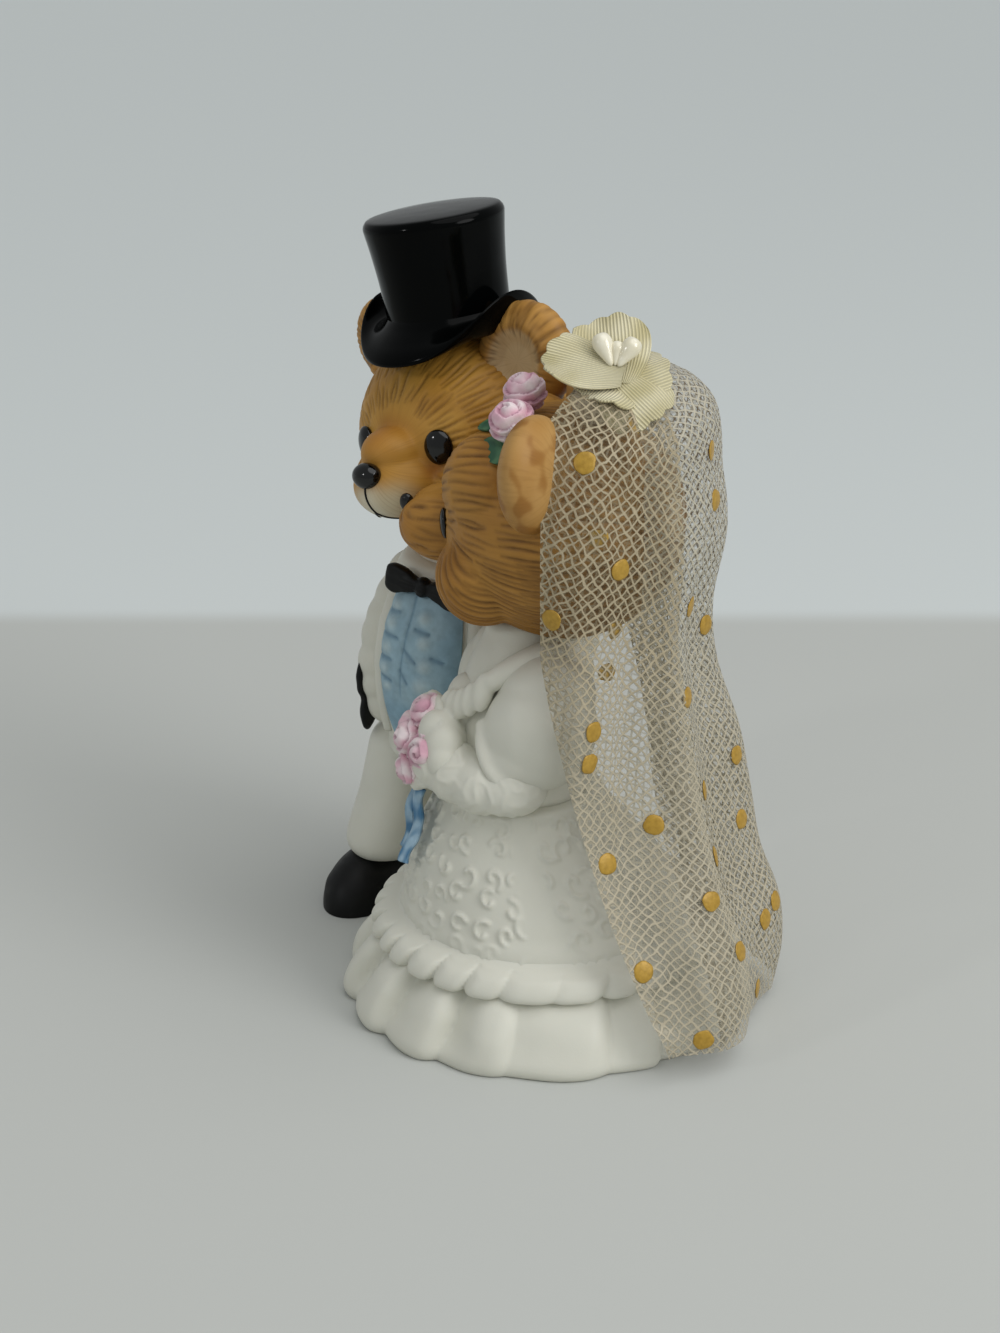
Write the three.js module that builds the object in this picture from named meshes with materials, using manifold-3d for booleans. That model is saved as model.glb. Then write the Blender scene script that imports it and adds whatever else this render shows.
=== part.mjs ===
// Teddy bear wedding figurine: a groom and a bride cast in bisque porcelain, standing close,
// with a net veil and a satin flower fixed to the bride's head. Millimetres, +Z up, table at zero.
// The couple's front is -Y, the groom stands at -X and the bride at +X.
// In each bear's own frame +X is its left and -Y its front.
import * as THREE from "three";
import { mergeVertices } from "three/addons/utils/BufferGeometryUtils.js";
import Module from "manifold-3d";

const wasm = await Module();
wasm.setup();

// Fits shared by all pieces
const seatGap = 0.3; // between pieces that rest on each other
const castWall = 3.2; // porcelain wall of the open skirt
const cutOverrun = 4; // how far a cutter runs past what it cuts

// How the couple stands
const brideTurn = -12.5; // degrees, towards the groom
const groomTurn = 33.5; // degrees, towards the bride
const headsApart = 0.4; // least gap between the two heads
const headLineTurn = 2.3; // degrees, how far the groom's head stands back from the bride's

// Bride's skirt
const hemRadius = 31.0;
const flounceHeight = 12.6;
const flounceBulge = 2.2;
const pleatDepth = 1.1;
const pleatCount = 18;
const skirtRadius = 23.4;
const headingReach = 4.3; // of the small frill, out from the skirt
const headingHeight = 4.4;
const headingWave = 0.7;
const headingScallops = 22;
const waistHeight = 37.0;
const waistRadius = 12.4;
const bodyForward = 4.5; // of the waist, in front of the hem's middle

// Bride's bodice and arms
const bodiceHeight = 26.0;
const bodiceRadius = 11.6;
const puffHalfWidth = 7.6;
const puffHalfDepth = 9.0;
const puffHalfHeight = 10.4;
const cuffRadius = 5.2;
const wristRadius = 4.2;
const pawRadius = 2.9;
const ruffleWidth = 4.2;
const ruffleThickness = 2.0;
const ruffleWave = 0.9;
const ruffleWaves = 9;

// Bouquet
const bouquetRadius = 6.9;
const doilyRadius = 8.8;
const doilyThickness = 1.2;
const bouquetRoseRadius = 3.0;
const bouquetRoses = 4; // round the middle one
const ribbonWidth = 2.6;
const ribbonThickness = 0.9;
const ribbonLength = 11.5;

// Bride's head
const brideHeadHalf = 18.5;
const brideHeadBack = 2.6; // of its middle, behind the hem's middle
const brideNeckSink = 1.5; // of the head into the bodice
const brideHeadTurn = -48.0; // degrees from the couple's front, towards the groom
const brideHeadLeanTurn = 9.0; // degrees, crown towards her left
const brideMuzzleReach = 8.9; // in front of the head
const groomMuzzleReach = 6.9;
const earHalfWidth = 7.4;
const earHalfHeight = 8.4;
const earThickness = 6.6;

// Groom's body
const groomHeadHalf = 18.9;
const groomHeadBack = 1.5; // of its middle, behind the middle of the body
const groomNeckRise = 3.6; // from the shoulders to the head
const groomHeadTurn = 23.0; // degrees from the couple's front, towards the bride
const groomHeadLeanTurn = -8.5; // degrees, crown towards his right
const groomWaistHeight = 29.6;
const groomShoulderHeight = 61.5;
const coatHalfWidth = 13.6;
const coatHalfDepth = 13.2;
const bellyForward = 2.4;
const trouserHemHeight = 8.2;
const legHalfWidth = 7.6;
const legHalfDepth = 10.2;
const legSpread = 9.6; // of each hem's middle from the middle of the body
const legForward = 4.6;
const shoeHalfWidth = 6.6;
const shoeHalfLength = 11.6;
const shoeHeight = 9.4;
const sleeveRadius = 5.0;
const sleeveEndRadius = 4.2;
const shirtHalfWidth = 7.4;
const shirtThickness = 1.2;
const bowHalfWidth = 7.4;
const bowHalfHeight = 3.2;
const bowThickness = 2.6;
const collarHeight = 3.0;

// Top hat
const crownTopRadius = 11.0;
const crownBaseRadius = 9.9;
const crownHeight = 17.8;
const brimRadius = 13.5;
const brimThickness = 1.7;
const brimCurl = 4.4; // lift of the brim at the sides
const brimDip = 1.6; // drop of the brim at the front and the back
const hatForward = 5.2;

// Veil and satin flower
const veilThickness = 0.6;
const veilReach = 35.0; // of the hem, out from below the bride's head
const veilHeight = 104.3; // of the net's top above the table
const veilLayerGap = 1.4;
const veilFold = 1.9;
const petalLength = 11.0;
const petalWidth = 11.5;
const petalThickness = 0.8;
const petalCount = 5;
const petalCup = 2.2;
const pearlLength = 5.2;
const pearlRadius = 1.75;
const hairRoseRadius = 3.7;
const leafLength = 5.0;
const leafWidth = 3.0;
const leafThickness = 0.9;

const finishes = {
  whiteBisque: { color: 0xe8e6dc, roughness: 0.72, metalness: 0 },
  brownBisque: { color: 0xa87a48, roughness: 0.7, metalness: 0 },
  muzzleBisque: { color: 0xb58a58, roughness: 0.7, metalness: 0 },
  blackGlaze: { color: 0x0a0c0c, roughness: 0.16, metalness: 0 },
  blackPaint: { color: 0x101112, roughness: 0.55, metalness: 0 },
  blueBisque: { color: 0x9fb9c6, roughness: 0.7, metalness: 0 },
  pinkBisque: { color: 0xc9a3ae, roughness: 0.7, metalness: 0 },
  greenBisque: { color: 0x2e5a38, roughness: 0.6, metalness: 0 },
  net: { color: 0xcfc4a8, roughness: 0.85, metalness: 0 },
  satin: { color: 0xd9d2ae, roughness: 0.42, metalness: 0 },
  pearl: { color: 0xede8d2, roughness: 0.2, metalness: 0 },
};

const turn = THREE.MathUtils.degToRad;
const fullTurn = Math.PI * 2;

// Shapes shared by all pieces

function outward(geometry) {
  const merged = geometry.clone();
  merged.deleteAttribute("normal");
  merged.deleteAttribute("uv");
  const closed = mergeVertices(merged, seatGap / 1000);
  const point = closed.attributes.position;
  const corner = closed.index;
  const a = new THREE.Vector3();
  const b = new THREE.Vector3();
  const c = new THREE.Vector3();
  const kept = [];
  let volume = 0;
  for (let i = 0; i < corner.count; i += 3) {
    const [p, q, r] = [corner.getX(i), corner.getX(i + 1), corner.getX(i + 2)];
    if (p !== q && q !== r && r !== p) {
      kept.push(p, q, r);
      a.fromBufferAttribute(point, p);
      b.fromBufferAttribute(point, q);
      c.fromBufferAttribute(point, r);
      volume += a.dot(b.cross(c));
    }
  }
  closed.setIndex(volume < 0 ? kept.reverse() : kept);
  return closed;
}

function solidOf(geometry) {
  const closed = outward(geometry);
  const vertProperties = new Float32Array(closed.attributes.position.array);
  const triVerts = new Uint32Array(closed.index.array);
  return new wasm.Manifold(new wasm.Mesh({ numProp: 3, vertProperties, triVerts }));
}

function geometryOf(solid) {
  const mesh = solid.getMesh();
  const geometry = new THREE.BufferGeometry();
  geometry.setAttribute("position", new THREE.BufferAttribute(mesh.vertProperties, 3));
  geometry.setIndex(new THREE.BufferAttribute(mesh.triVerts, 1));
  return geometry;
}

// What is left of a piece after its tools, without crumbs
function cut(geometry, ...tools) {
  let solid = solidOf(geometry);
  for (const tool of tools) {
    solid = solid.subtract(solidOf(tool));
  }
  const bodies = solid.decompose().sort((a, b) => b.volume() - a.volume());
  return geometryOf(bodies[0]);
}

function joined(first, ...others) {
  let solid = solidOf(first);
  for (const other of others) {
    solid = solid.add(solidOf(other));
  }
  return geometryOf(solid);
}

function moved(geometry, x, y, z) {
  return geometry.clone().translate(x, y, z);
}

function reshaped(geometry, move) {
  const copy = geometry.clone();
  const place = copy.attributes.position;
  const point = new THREE.Vector3();
  for (let i = 0; i < place.count; i += 1) {
    point.fromBufferAttribute(place, i);
    move(point);
    place.setXYZ(i, point.x, point.y, point.z);
  }
  return copy;
}

function ball(halfX, halfY, halfZ, around = 16, down = 10) {
  const geometry = new THREE.SphereGeometry(1, around, down);
  return geometry.rotateX(turn(90)).scale(halfX, halfY, halfZ);
}

function lathe(profile, sides) {
  const points = profile.map(([radius, height]) => new THREE.Vector2(radius, height));
  return new THREE.LatheGeometry(points, sides).rotateX(turn(90));
}

function smooth(share) {
  const kept = Math.min(Math.max(share, 0), 1);
  return kept * kept * (3 - 2 * kept);
}

// A closed sheet whose middle surface is pointAt(across share, along share)
function sheet(pointAt, across, along, thickness) {
  const points = [];
  const faces = [];
  const step = 1 / (across * along * 10);
  for (const side of [1, -1]) {
    for (let j = 0; j <= along; j += 1) {
      for (let i = 0; i <= across; i += 1) {
        const [u, v] = [i / across, j / along];
        const here = pointAt(u, v);
        const right = pointAt(u + step, v).sub(pointAt(u - step, v));
        const down = pointAt(u, v + step).sub(pointAt(u, v - step));
        const normal = right.cross(down).normalize();
        here.addScaledVector(normal, (side * thickness) / 2);
        points.push(here.x, here.y, here.z);
      }
    }
  }
  const wide = across + 1;
  const layer = wide * (along + 1);
  for (let j = 0; j < along; j += 1) {
    for (let i = 0; i < across; i += 1) {
      const a = j * wide + i;
      faces.push(a, a + 1, a + wide, a + 1, a + wide + 1, a + wide);
      faces.push(layer + a, layer + a + wide, layer + a + 1);
      faces.push(layer + a + 1, layer + a + wide, layer + a + wide + 1);
    }
  }
  const rim = [];
  for (let i = 0; i < across; i += 1) rim.push(i);
  for (let j = 0; j < along; j += 1) rim.push(j * wide + across);
  for (let i = across; i > 0; i -= 1) rim.push(along * wide + i);
  for (let j = along; j > 0; j -= 1) rim.push(j * wide);
  rim.forEach((a, place) => {
    const b = rim[(place + 1) % rim.length];
    faces.push(a, layer + a, layer + b, a, layer + b, b);
  });
  const geometry = new THREE.BufferGeometry();
  geometry.setAttribute("position", new THREE.Float32BufferAttribute(points, 3));
  geometry.setIndex(faces);
  return geometry;
}

// A round bar that follows places and swells from one radius to another
function limb(places, startRadius, endRadius, sides, steps) {
  const path = new THREE.CatmullRomCurve3(places.map((p) => new THREE.Vector3(...p)));
  const section = new THREE.Shape();
  for (let i = 0; i < sides; i += 1) {
    const angle = (i / sides) * fullTurn;
    const [x, y] = [Math.cos(angle), Math.sin(angle)];
    if (i === 0) section.moveTo(x, y);
    else section.lineTo(x, y);
  }
  section.closePath();
  const bar = new THREE.ExtrudeGeometry(section, { steps, extrudePath: path });
  const middles = path.getSpacedPoints(steps);
  return reshaped(bar, (point) => {
    let nearest = 0;
    middles.forEach((middle, i) => {
      if (middle.distanceTo(point) < middles[nearest].distanceTo(point)) nearest = i;
    });
    const share = nearest / steps;
    const radius = startRadius + (endRadius - startRadius) * share;
    const round = Math.min(1, 0.62 + 1.6 * Math.min(share, 1 - share) * 2);
    point.sub(middles[nearest]).multiplyScalar(radius * round).add(middles[nearest]);
  });
}

const figurine = new THREE.Group();
const brideGroup = new THREE.Group();
const groomGroup = new THREE.Group();
figurine.add(brideGroup, groomGroup);

function add(group, name, geometry, finish) {
  const mesh = new THREE.Mesh(outward(geometry), new THREE.MeshStandardMaterial(finish));
  mesh.name = name;
  group.add(mesh);
}

// Places that pieces share

const brideHeadMiddle = new THREE.Vector3(
  0,
  brideHeadBack,
  waistHeight + bodiceHeight - brideNeckSink + brideHeadHalf,
);
const groomHeadMiddle = new THREE.Vector3(
  0,
  groomHeadBack,
  groomShoulderHeight + groomNeckRise + groomHeadHalf,
);

function onHead(geometry, middle, headTurn, bodyTurn, lean) {
  const copy = geometry.clone();
  copy.rotateY(turn(lean));
  copy.rotateZ(turn(headTurn - bodyTurn));
  return copy.translate(middle.x, middle.y, middle.z);
}

function onBrideHead(geometry) {
  return onHead(geometry, brideHeadMiddle, brideHeadTurn, brideTurn, brideHeadLeanTurn);
}

function onGroomHead(geometry) {
  return onHead(geometry, groomHeadMiddle, groomHeadTurn, groomTurn, groomHeadLeanTurn);
}

function standCouple() {
  const reach = brideHeadHalf + groomHeadHalf + headsApart;
  const rise = groomHeadMiddle.z - brideHeadMiddle.z;
  const line = Math.sqrt(reach * reach - rise * rise);
  const up = new THREE.Vector3(0, 0, 1);
  const brideHead = brideHeadMiddle.clone().setZ(0).applyAxisAngle(up, turn(brideTurn));
  const groomHead = groomHeadMiddle.clone().setZ(0).applyAxisAngle(up, turn(groomTurn));
  const along = new THREE.Vector3(-line, 0, 0).applyAxisAngle(up, -turn(headLineTurn));
  brideGroup.rotation.z = turn(brideTurn);
  groomGroup.rotation.z = turn(groomTurn);
  groomGroup.position.copy(brideHead.add(along).sub(groomHead));
  brideGroup.updateMatrixWorld(true);
  groomGroup.updateMatrixWorld(true);
}

standCouple();

// What the bride's pieces are, seen from the groom's frame, and the other way round
function fromBride(geometry) {
  const change = groomGroup.matrixWorld.clone().invert().multiply(brideGroup.matrixWorld);
  return geometry.clone().applyMatrix4(change);
}

function leaned(geometry) {
  return reshaped(geometry, (point) => {
    point.y -= bodyForward * smooth((point.z - flounceHeight) / (waistHeight - flounceHeight));
  });
}

// Bride's skirt, an open bell, with its two frills

function skirtShape(grow) {
  const outerShares = [
    [1, 0], [1, 0.4], [0.92, 0.54], [0.795, 0.7], [0.66, 0.84], [0.56, 0.95], [0.53, 1],
  ];
  const top = waistHeight + grow;
  const outer = outerShares.map(([wide, high]) => [skirtRadius * wide + grow, top * high]);
  outer[outer.length - 1][0] = waistRadius + grow;
  outer.push([0, top]);
  return outer;
}

function makeSkirt() {
  const room = skirtRadius - castWall;
  const height = waistHeight * 0.7;
  const innerShares = [[0, 1], [0.42, 0.97], [0.7, 0.84], [0.9, 0.56], [1, 0]];
  const inner = innerShares.map(([wide, high]) => [room * wide, height * high]);
  return leaned(lathe([...inner, ...skirtShape(0)], 28));
}

function skirtEnvelope(grow) {
  return leaned(lathe([[0, -cutOverrun], [skirtRadius + grow, -cutOverrun], ...skirtShape(grow)], 28));
}

function makeFlounce() {
  const inside = skirtRadius + seatGap;
  const outerShares = [[1, 0], [1, 0.28], [0.82, 0.6], [0.3, 1]];
  const reach = hemRadius - inside;
  const profile = [[inside, 0]];
  outerShares.forEach(([wide, high]) => {
    const bulge = flounceBulge * Math.sin(Math.PI * Math.min(high * 1.15, 1));
    profile.push([inside + reach * wide + bulge, flounceHeight * high]);
  });
  profile.push([inside, flounceHeight], [inside, 0]);
  const ring = lathe(profile, pleatCount * 4);
  return reshaped(ring, (point) => {
    const radius = Math.hypot(point.x, point.y);
    const angle = Math.atan2(point.y, point.x);
    const loose = smooth((radius - inside) / reach) * (1 - 0.6 * smooth(point.z / flounceHeight));
    const swell = pleatDepth * Math.cos(angle * pleatCount + Math.sin(angle * 3)) * loose;
    point.x *= 1 + swell / radius;
    point.y *= 1 + swell / radius;
  });
}

function makeHeading() {
  const inside = skirtRadius + seatGap;
  const floor = flounceHeight + seatGap;
  const shares = [[1, 0], [0.98, 0.3], [0.12, 1]];
  const profile = [[inside, floor]];
  shares.forEach(([wide, high]) => {
    profile.push([inside + headingReach * wide, floor + headingHeight * high]);
  });
  profile.push([inside, floor + headingHeight], [inside, floor]);
  const ring = lathe(profile, headingScallops * 3);
  const waved = reshaped(ring, (point) => {
    const radius = Math.hypot(point.x, point.y);
    const angle = Math.atan2(point.y, point.x);
    const loose = smooth((radius - inside) / headingReach);
    const swell = headingWave * Math.cos(angle * headingScallops) * loose;
    point.x *= 1 + swell / radius;
    point.y *= 1 + swell / radius;
  });
  return cut(waved, skirtEnvelope(seatGap));
}

// Bride's bodice, sleeves and paws

function bodiceShape(grow) {
  const shares = [[0.93, 0], [1.02, 0.27], [1, 0.58], [0.82, 0.8], [0.56, 0.96], [0.4, 1.06]];
  const low = waistHeight + seatGap;
  const profile = [[0, low - grow]];
  shares.forEach(([wide, high]) => {
    profile.push([bodiceRadius * wide + grow, low + bodiceHeight * high + (high > 0 ? grow : -grow)]);
  });
  profile.push([0, low + bodiceHeight * 1.06 + grow]);
  return moved(lathe(profile, 24), 0, -bodyForward, 0);
}

function brideHeadShape(grow) {
  const half = brideHeadHalf + grow;
  return onBrideHead(ball(half, half, half * 0.98, 22, 13));
}

function puffShape(side, grow) {
  const puff = ball(puffHalfWidth + grow, puffHalfDepth + grow, puffHalfHeight + grow, 14, 9);
  const out = bodiceRadius * 0.9;
  return moved(puff, side * out, -bodyForward * 0.8, waistHeight + bodiceHeight * 0.485);
}

function armPlaces(side) {
  const elbow = [side * bodiceRadius * 0.92, -bodyForward - puffHalfDepth * 0.4];
  const wrist = [side * bodiceRadius * 0.3, -bodyForward - bodiceRadius * 1.14];
  const low = waistHeight + bodiceHeight * 0.17;
  const high = waistHeight + bodiceHeight * 0.24;
  const between = [(elbow[0] + wrist[0]) / 2 + side, (elbow[1] + wrist[1]) / 2];
  return [[...elbow, low], [...between, low], [...wrist, high]];
}

function forearmShape(side, grow) {
  return limb(armPlaces(side), cuffRadius + grow, wristRadius + grow, 8, 5);
}

function pawShape(side, grow) {
  const [x, y, z] = armPlaces(side)[2];
  const paw = ball(pawRadius + grow, pawRadius * 1.15 + grow, pawRadius * 1.1 + grow, 8, 6);
  return moved(paw, x - side * pawRadius * 0.3, y - pawRadius * 0.45, z);
}

// The frill that runs down from each shoulder and meets in the middle of the chest
function makeRuffle() {
  const top = waistHeight + bodiceHeight * 0.84;
  const low = waistHeight + bodiceHeight * 0.6;
  const front = (u, v) => {
    const across = (u - 0.5) * 2;
    const lift = Math.abs(across) ** 1.5;
    const z = low + (top - low) * lift - ruffleWidth * (v - 0.5) * (1 - 0.5 * lift);
    const angle = turn(-90 + across * 62);
    const radius = bodiceRadius * (1.04 - 0.2 * lift) + ruffleThickness + ruffleWidth * 0.2 * v;
    const wave = ruffleWave * Math.cos(across * Math.PI * ruffleWaves) * v;
    return new THREE.Vector3(
      Math.cos(angle) * (radius + wave),
      Math.sin(angle) * (radius + wave) - bodyForward,
      z,
    );
  };
  const strip = sheet(front, ruffleWaves * 4, 1, ruffleThickness);
  const bouquet = bouquetRosePlaces().map((place) => bouquetRose(place, seatGap));
  const puffs = [puffShape(1, seatGap), puffShape(-1, seatGap)];
  return cut(strip, bodiceShape(seatGap), ...puffs, doilyShape(seatGap), ...bouquet);
}

function makeBrideBody() {
  add(brideGroup, "bride_skirt", makeSkirt(), finishes.whiteBisque);
  add(brideGroup, "skirt_flounce", makeFlounce(), finishes.whiteBisque);
  add(brideGroup, "skirt_frill", makeHeading(), finishes.whiteBisque);
  const head = brideHeadShape(seatGap);
  add(brideGroup, "bride_bodice", cut(bodiceShape(0), head), finishes.whiteBisque);
  for (const side of [1, -1]) {
    const end = side > 0 ? "left" : "right";
    const body = bodiceShape(seatGap);
    const puff = cut(puffShape(side, 0), body, head);
    add(brideGroup, `bride_puff_sleeve_${end}`, puff, finishes.whiteBisque);
    const middle = sideBlock(-side);
    const skirt = skirtEnvelope(seatGap);
    const arm = cut(forearmShape(side, 0), body, puffShape(side, seatGap), middle, skirt);
    add(brideGroup, `bride_forearm_${end}`, arm, finishes.whiteBisque);
    const paw = cut(pawShape(side, 0), forearmShape(side, seatGap), middle, body);
    add(brideGroup, `bride_paw_${end}`, paw, finishes.brownBisque);
  }
  add(brideGroup, "chest_ruffle", makeRuffle(), finishes.whiteBisque);
}

// The room of the other arm, from the middle of the body outwards
function sideBlock(side) {
  const reach = bodiceRadius * 3;
  const block = new THREE.BoxGeometry(reach, reach * 2, reach * 2);
  return moved(block, side * (reach / 2 - seatGap / 2), -bodyForward - reach / 2, waistHeight);
}

// Bouquet of roses on a paper doily, with ribbon tails

const bouquetMiddle = new THREE.Vector3(
  0,
  -bodyForward - bodiceRadius * 1.36,
  waistHeight + bodiceHeight * 0.33,
);

function onBouquet(geometry) {
  const copy = geometry.clone().rotateX(turn(74));
  return copy.translate(bouquetMiddle.x, bouquetMiddle.y, bouquetMiddle.z);
}

function doilyShape(grow) {
  const rise = doilyRadius * 0.36;
  const low = -bouquetRoseRadius * 0.4;
  const profile = [
    [0, low - rise - grow],
    [doilyRadius, low - grow],
    [doilyRadius, low + doilyThickness * 0.6 + grow],
    [0, low - rise + doilyThickness + grow],
  ];
  const cone = lathe(profile, 27);
  return onBouquet(reshaped(cone, (point) => {
    const radius = Math.hypot(point.x, point.y);
    const swell = doilyRadius * 0.05 * Math.cos(Math.atan2(point.y, point.x) * 9);
    const share = radius > 0 ? (swell * (radius / doilyRadius)) / radius : 0;
    point.x *= 1 + share;
    point.y *= 1 + share;
  }));
}

function bouquetRosePlaces() {
  const ring = bouquetRadius - bouquetRoseRadius * 0.72;
  const places = [[0, 0, bouquetRoseRadius * 0.5]];
  for (let i = 0; i < bouquetRoses; i += 1) {
    const angle = (i / bouquetRoses) * fullTurn;
    places.push([ring * Math.cos(angle), ring * Math.sin(angle), 0]);
  }
  return places;
}

function bouquetRose([x, y, z], grow) {
  const half = bouquetRoseRadius + grow;
  return onBouquet(moved(ball(half, half, half * 0.86, 10, 6), x, y, z));
}

function ribbonTail(side) {
  const top = bouquetMiddle.z - bouquetRadius - ribbonThickness;
  const hang = (u, v) => new THREE.Vector3(
    side * ribbonWidth * (0.62 + 0.35 * v) + (u - 0.5) * ribbonWidth * (0.8 + 0.2 * v),
    bouquetMiddle.y + ribbonThickness - ribbonLength * 0.2 * v - side * ribbonThickness * 0.3 * v,
    top - ribbonLength * v,
  );
  return sheet(hang, 2, 5, ribbonThickness);
}

function makeBouquet() {
  const holders = [];
  for (const side of [1, -1]) {
    holders.push(pawShape(side, seatGap), forearmShape(side, seatGap));
  }
  const doily = cut(doilyShape(0), ...holders, bodiceShape(seatGap));
  add(brideGroup, "bouquet_doily", doily, finishes.whiteBisque);
  const places = bouquetRosePlaces();
  places.forEach((place, i) => {
    const earlier = places.slice(0, i).map((other) => bouquetRose(other, seatGap));
    const rose = cut(bouquetRose(place, 0), doilyShape(seatGap), ...holders, ...earlier);
    add(brideGroup, `bouquet_rose_${i + 1}`, rose, finishes.pinkBisque);
  });
  const knotHeight = bouquetMiddle.z - bouquetRadius - ribbonWidth * 0.4;
  const knotPlace = [0, bouquetMiddle.y + ribbonThickness, knotHeight];
  const knot = moved(ball(ribbonWidth * 0.9, ribbonThickness, ribbonWidth * 0.6, 8, 6), ...knotPlace);
  const ribbon = joined(knot, ribbonTail(1), ribbonTail(-1));
  const clear = [skirtEnvelope(seatGap), doilyShape(seatGap), bodiceShape(seatGap), ...holders];
  add(brideGroup, "bouquet_ribbon", cut(ribbon, ...clear), finishes.blueBisque);
}

// Faces, with the same features on both bears

function onBall(sideDegrees, frontDegrees, distance) {
  const [side, front] = [turn(sideDegrees), turn(frontDegrees)];
  return new THREE.Vector3(
    Math.sin(side) * distance,
    -Math.sin(front) * Math.cos(side) * distance,
    Math.cos(front) * Math.cos(side) * distance,
  );
}

const earTurn = 47; // degrees from the crown
const eyeTurn = 23; // degrees from the middle of the face
const earSeatShare = 0.33; // of the ear's half height, its middle above the head

function earShape(side, half, grow) {
  const disc = ball(earHalfWidth + grow, earThickness / 2 + grow, earHalfHeight + grow, 14, 9);
  const dish = ball(earHalfWidth * 0.72, earThickness * 0.42, earHalfHeight * 0.72, 10, 6);
  const hollow = moved(dish, 0, -earThickness * 0.5, 0);
  const ear = grow > 0 ? disc : cut(disc, hollow);
  ear.rotateY(turn(side * earTurn));
  const place = onBall(side * earTurn, 0, half + earHalfHeight * earSeatShare);
  return ear.translate(place.x, place.y, place.z);
}

function muzzleShape(half, reach, grow) {
  const depth = half * 0.44;
  const snout = ball(half * 0.4 + grow, depth + grow, half * 0.32 + grow, 14, 9);
  return moved(snout, 0, -(half + reach - depth), -half * 0.24);
}

function noseShape(half, reach, grow) {
  const nose = ball(half * 0.125 + grow, half * 0.09 + grow, half * 0.105 + grow, 8, 6);
  return moved(nose, 0, -(half + reach - half * 0.035), -half * 0.12);
}

function eyeShape(side, half) {
  const eye = ball(half * 0.13, half * 0.085, half * 0.155, 8, 6);
  const place = onBall(side * eyeTurn, 83, half);
  return eye.rotateZ(turn(side * eyeTurn)).translate(place.x, place.y, place.z);
}

function makeFace(group, owner, half, reach, onOwner, head, cutters) {
  add(group, `${owner}_head`, cut(head(0), ...cutters), finishes.brownBisque);
  const skull = head(seatGap);
  const muzzle = onOwner(muzzleShape(half, reach, seatGap));
  const snout = cut(onOwner(muzzleShape(half, reach, 0)), skull, ...cutters);
  add(group, `${owner}_muzzle`, snout, finishes.muzzleBisque);
  const nose = cut(onOwner(noseShape(half, reach, 0)), muzzle, skull, ...cutters);
  add(group, `${owner}_nose`, nose, finishes.blackGlaze);
  for (const side of [1, -1]) {
    const end = side > 0 ? "left" : "right";
    const eye = cut(onOwner(eyeShape(side, half)), skull, muzzle, ...cutters);
    add(group, `${owner}_eye_${end}`, eye, finishes.blackGlaze);
  }
}

function makeEars(group, owner, half, onOwner, cutters) {
  for (const side of [1, -1]) {
    const end = side > 0 ? "left" : "right";
    const ear = cut(onOwner(earShape(side, half, 0)), ...cutters);
    add(group, `${owner}_ear_${end}`, ear, finishes.brownBisque);
  }
}

// Painted roses and leaves beside the bride's left ear

const hairRoseShares = [[6, 12], [21, 18]]; // degrees towards her left and her front

function hairRose([side, front], grow) {
  const half = hairRoseRadius + grow;
  const rose = ball(half, half, half * 0.85, 10, 6);
  const place = onBall(side, front, brideHeadHalf + hairRoseRadius * 0.8);
  return onBrideHead(rose.translate(place.x, place.y, place.z));
}

function leafShape([side, front], spin) {
  const leaf = ball(leafWidth / 2, leafLength / 2, leafThickness, 10, 6).rotateZ(turn(spin));
  leaf.rotateX(turn(front));
  leaf.rotateY(turn(side));
  const place = onBall(side, front, brideHeadHalf + leafThickness * 0.7);
  return onBrideHead(leaf.translate(place.x, place.y, place.z));
}

function makeHairFlowers(skull) {
  const ear = onBrideHead(earShape(1, brideHeadHalf, seatGap));
  const grown = hairRoseShares.map((place) => hairRose(place, seatGap));
  hairRoseShares.forEach((place, i) => {
    const rose = cut(hairRose(place, 0), skull, ear, gatherShape(seatGap), ...grown.slice(0, i));
    add(brideGroup, `hair_rose_${i + 1}`, rose, finishes.pinkBisque);
  });
  const leafShares = [[13, 30, 20], [31, 28, -35]];
  leafShares.forEach(([side, front, spin], i) => {
    const leaf = cut(leafShape([side, front], spin), skull, ear, ...grown);
    add(brideGroup, `hair_leaf_${i + 1}`, leaf, finishes.greenBisque);
  });
}

// Satin flower: a knot of gathered net, two rows of petals and three drop pearls

const flowerTurn = -17; // degrees, behind the crown
const flowerFace = [26, -12]; // degrees, the way the flower looks
const gatherRise = 9.4; // of the knot's top above the head
const gatherRadius = 4.2;

function onFlower(geometry, lift) {
  const face = onBall(...flowerFace, 1);
  const seat = onBall(0, flowerTurn, brideHeadHalf + gatherRise * 0.78);
  const copy = geometry.clone().translate(0, 0, lift);
  copy.applyQuaternion(new THREE.Quaternion().setFromUnitVectors(new THREE.Vector3(0, 0, 1), face));
  return onBrideHead(copy.translate(seat.x, seat.y, seat.z));
}

function gatherShape(grow) {
  const knot = ball(gatherRadius + grow, gatherRadius + grow, gatherRise * 0.38 + grow, 12, 7);
  const place = onBall(0, flowerTurn, brideHeadHalf + gatherRise * 0.3);
  knot.rotateX(turn(flowerTurn));
  return onBrideHead(knot.translate(place.x, place.y, place.z));
}

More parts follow.
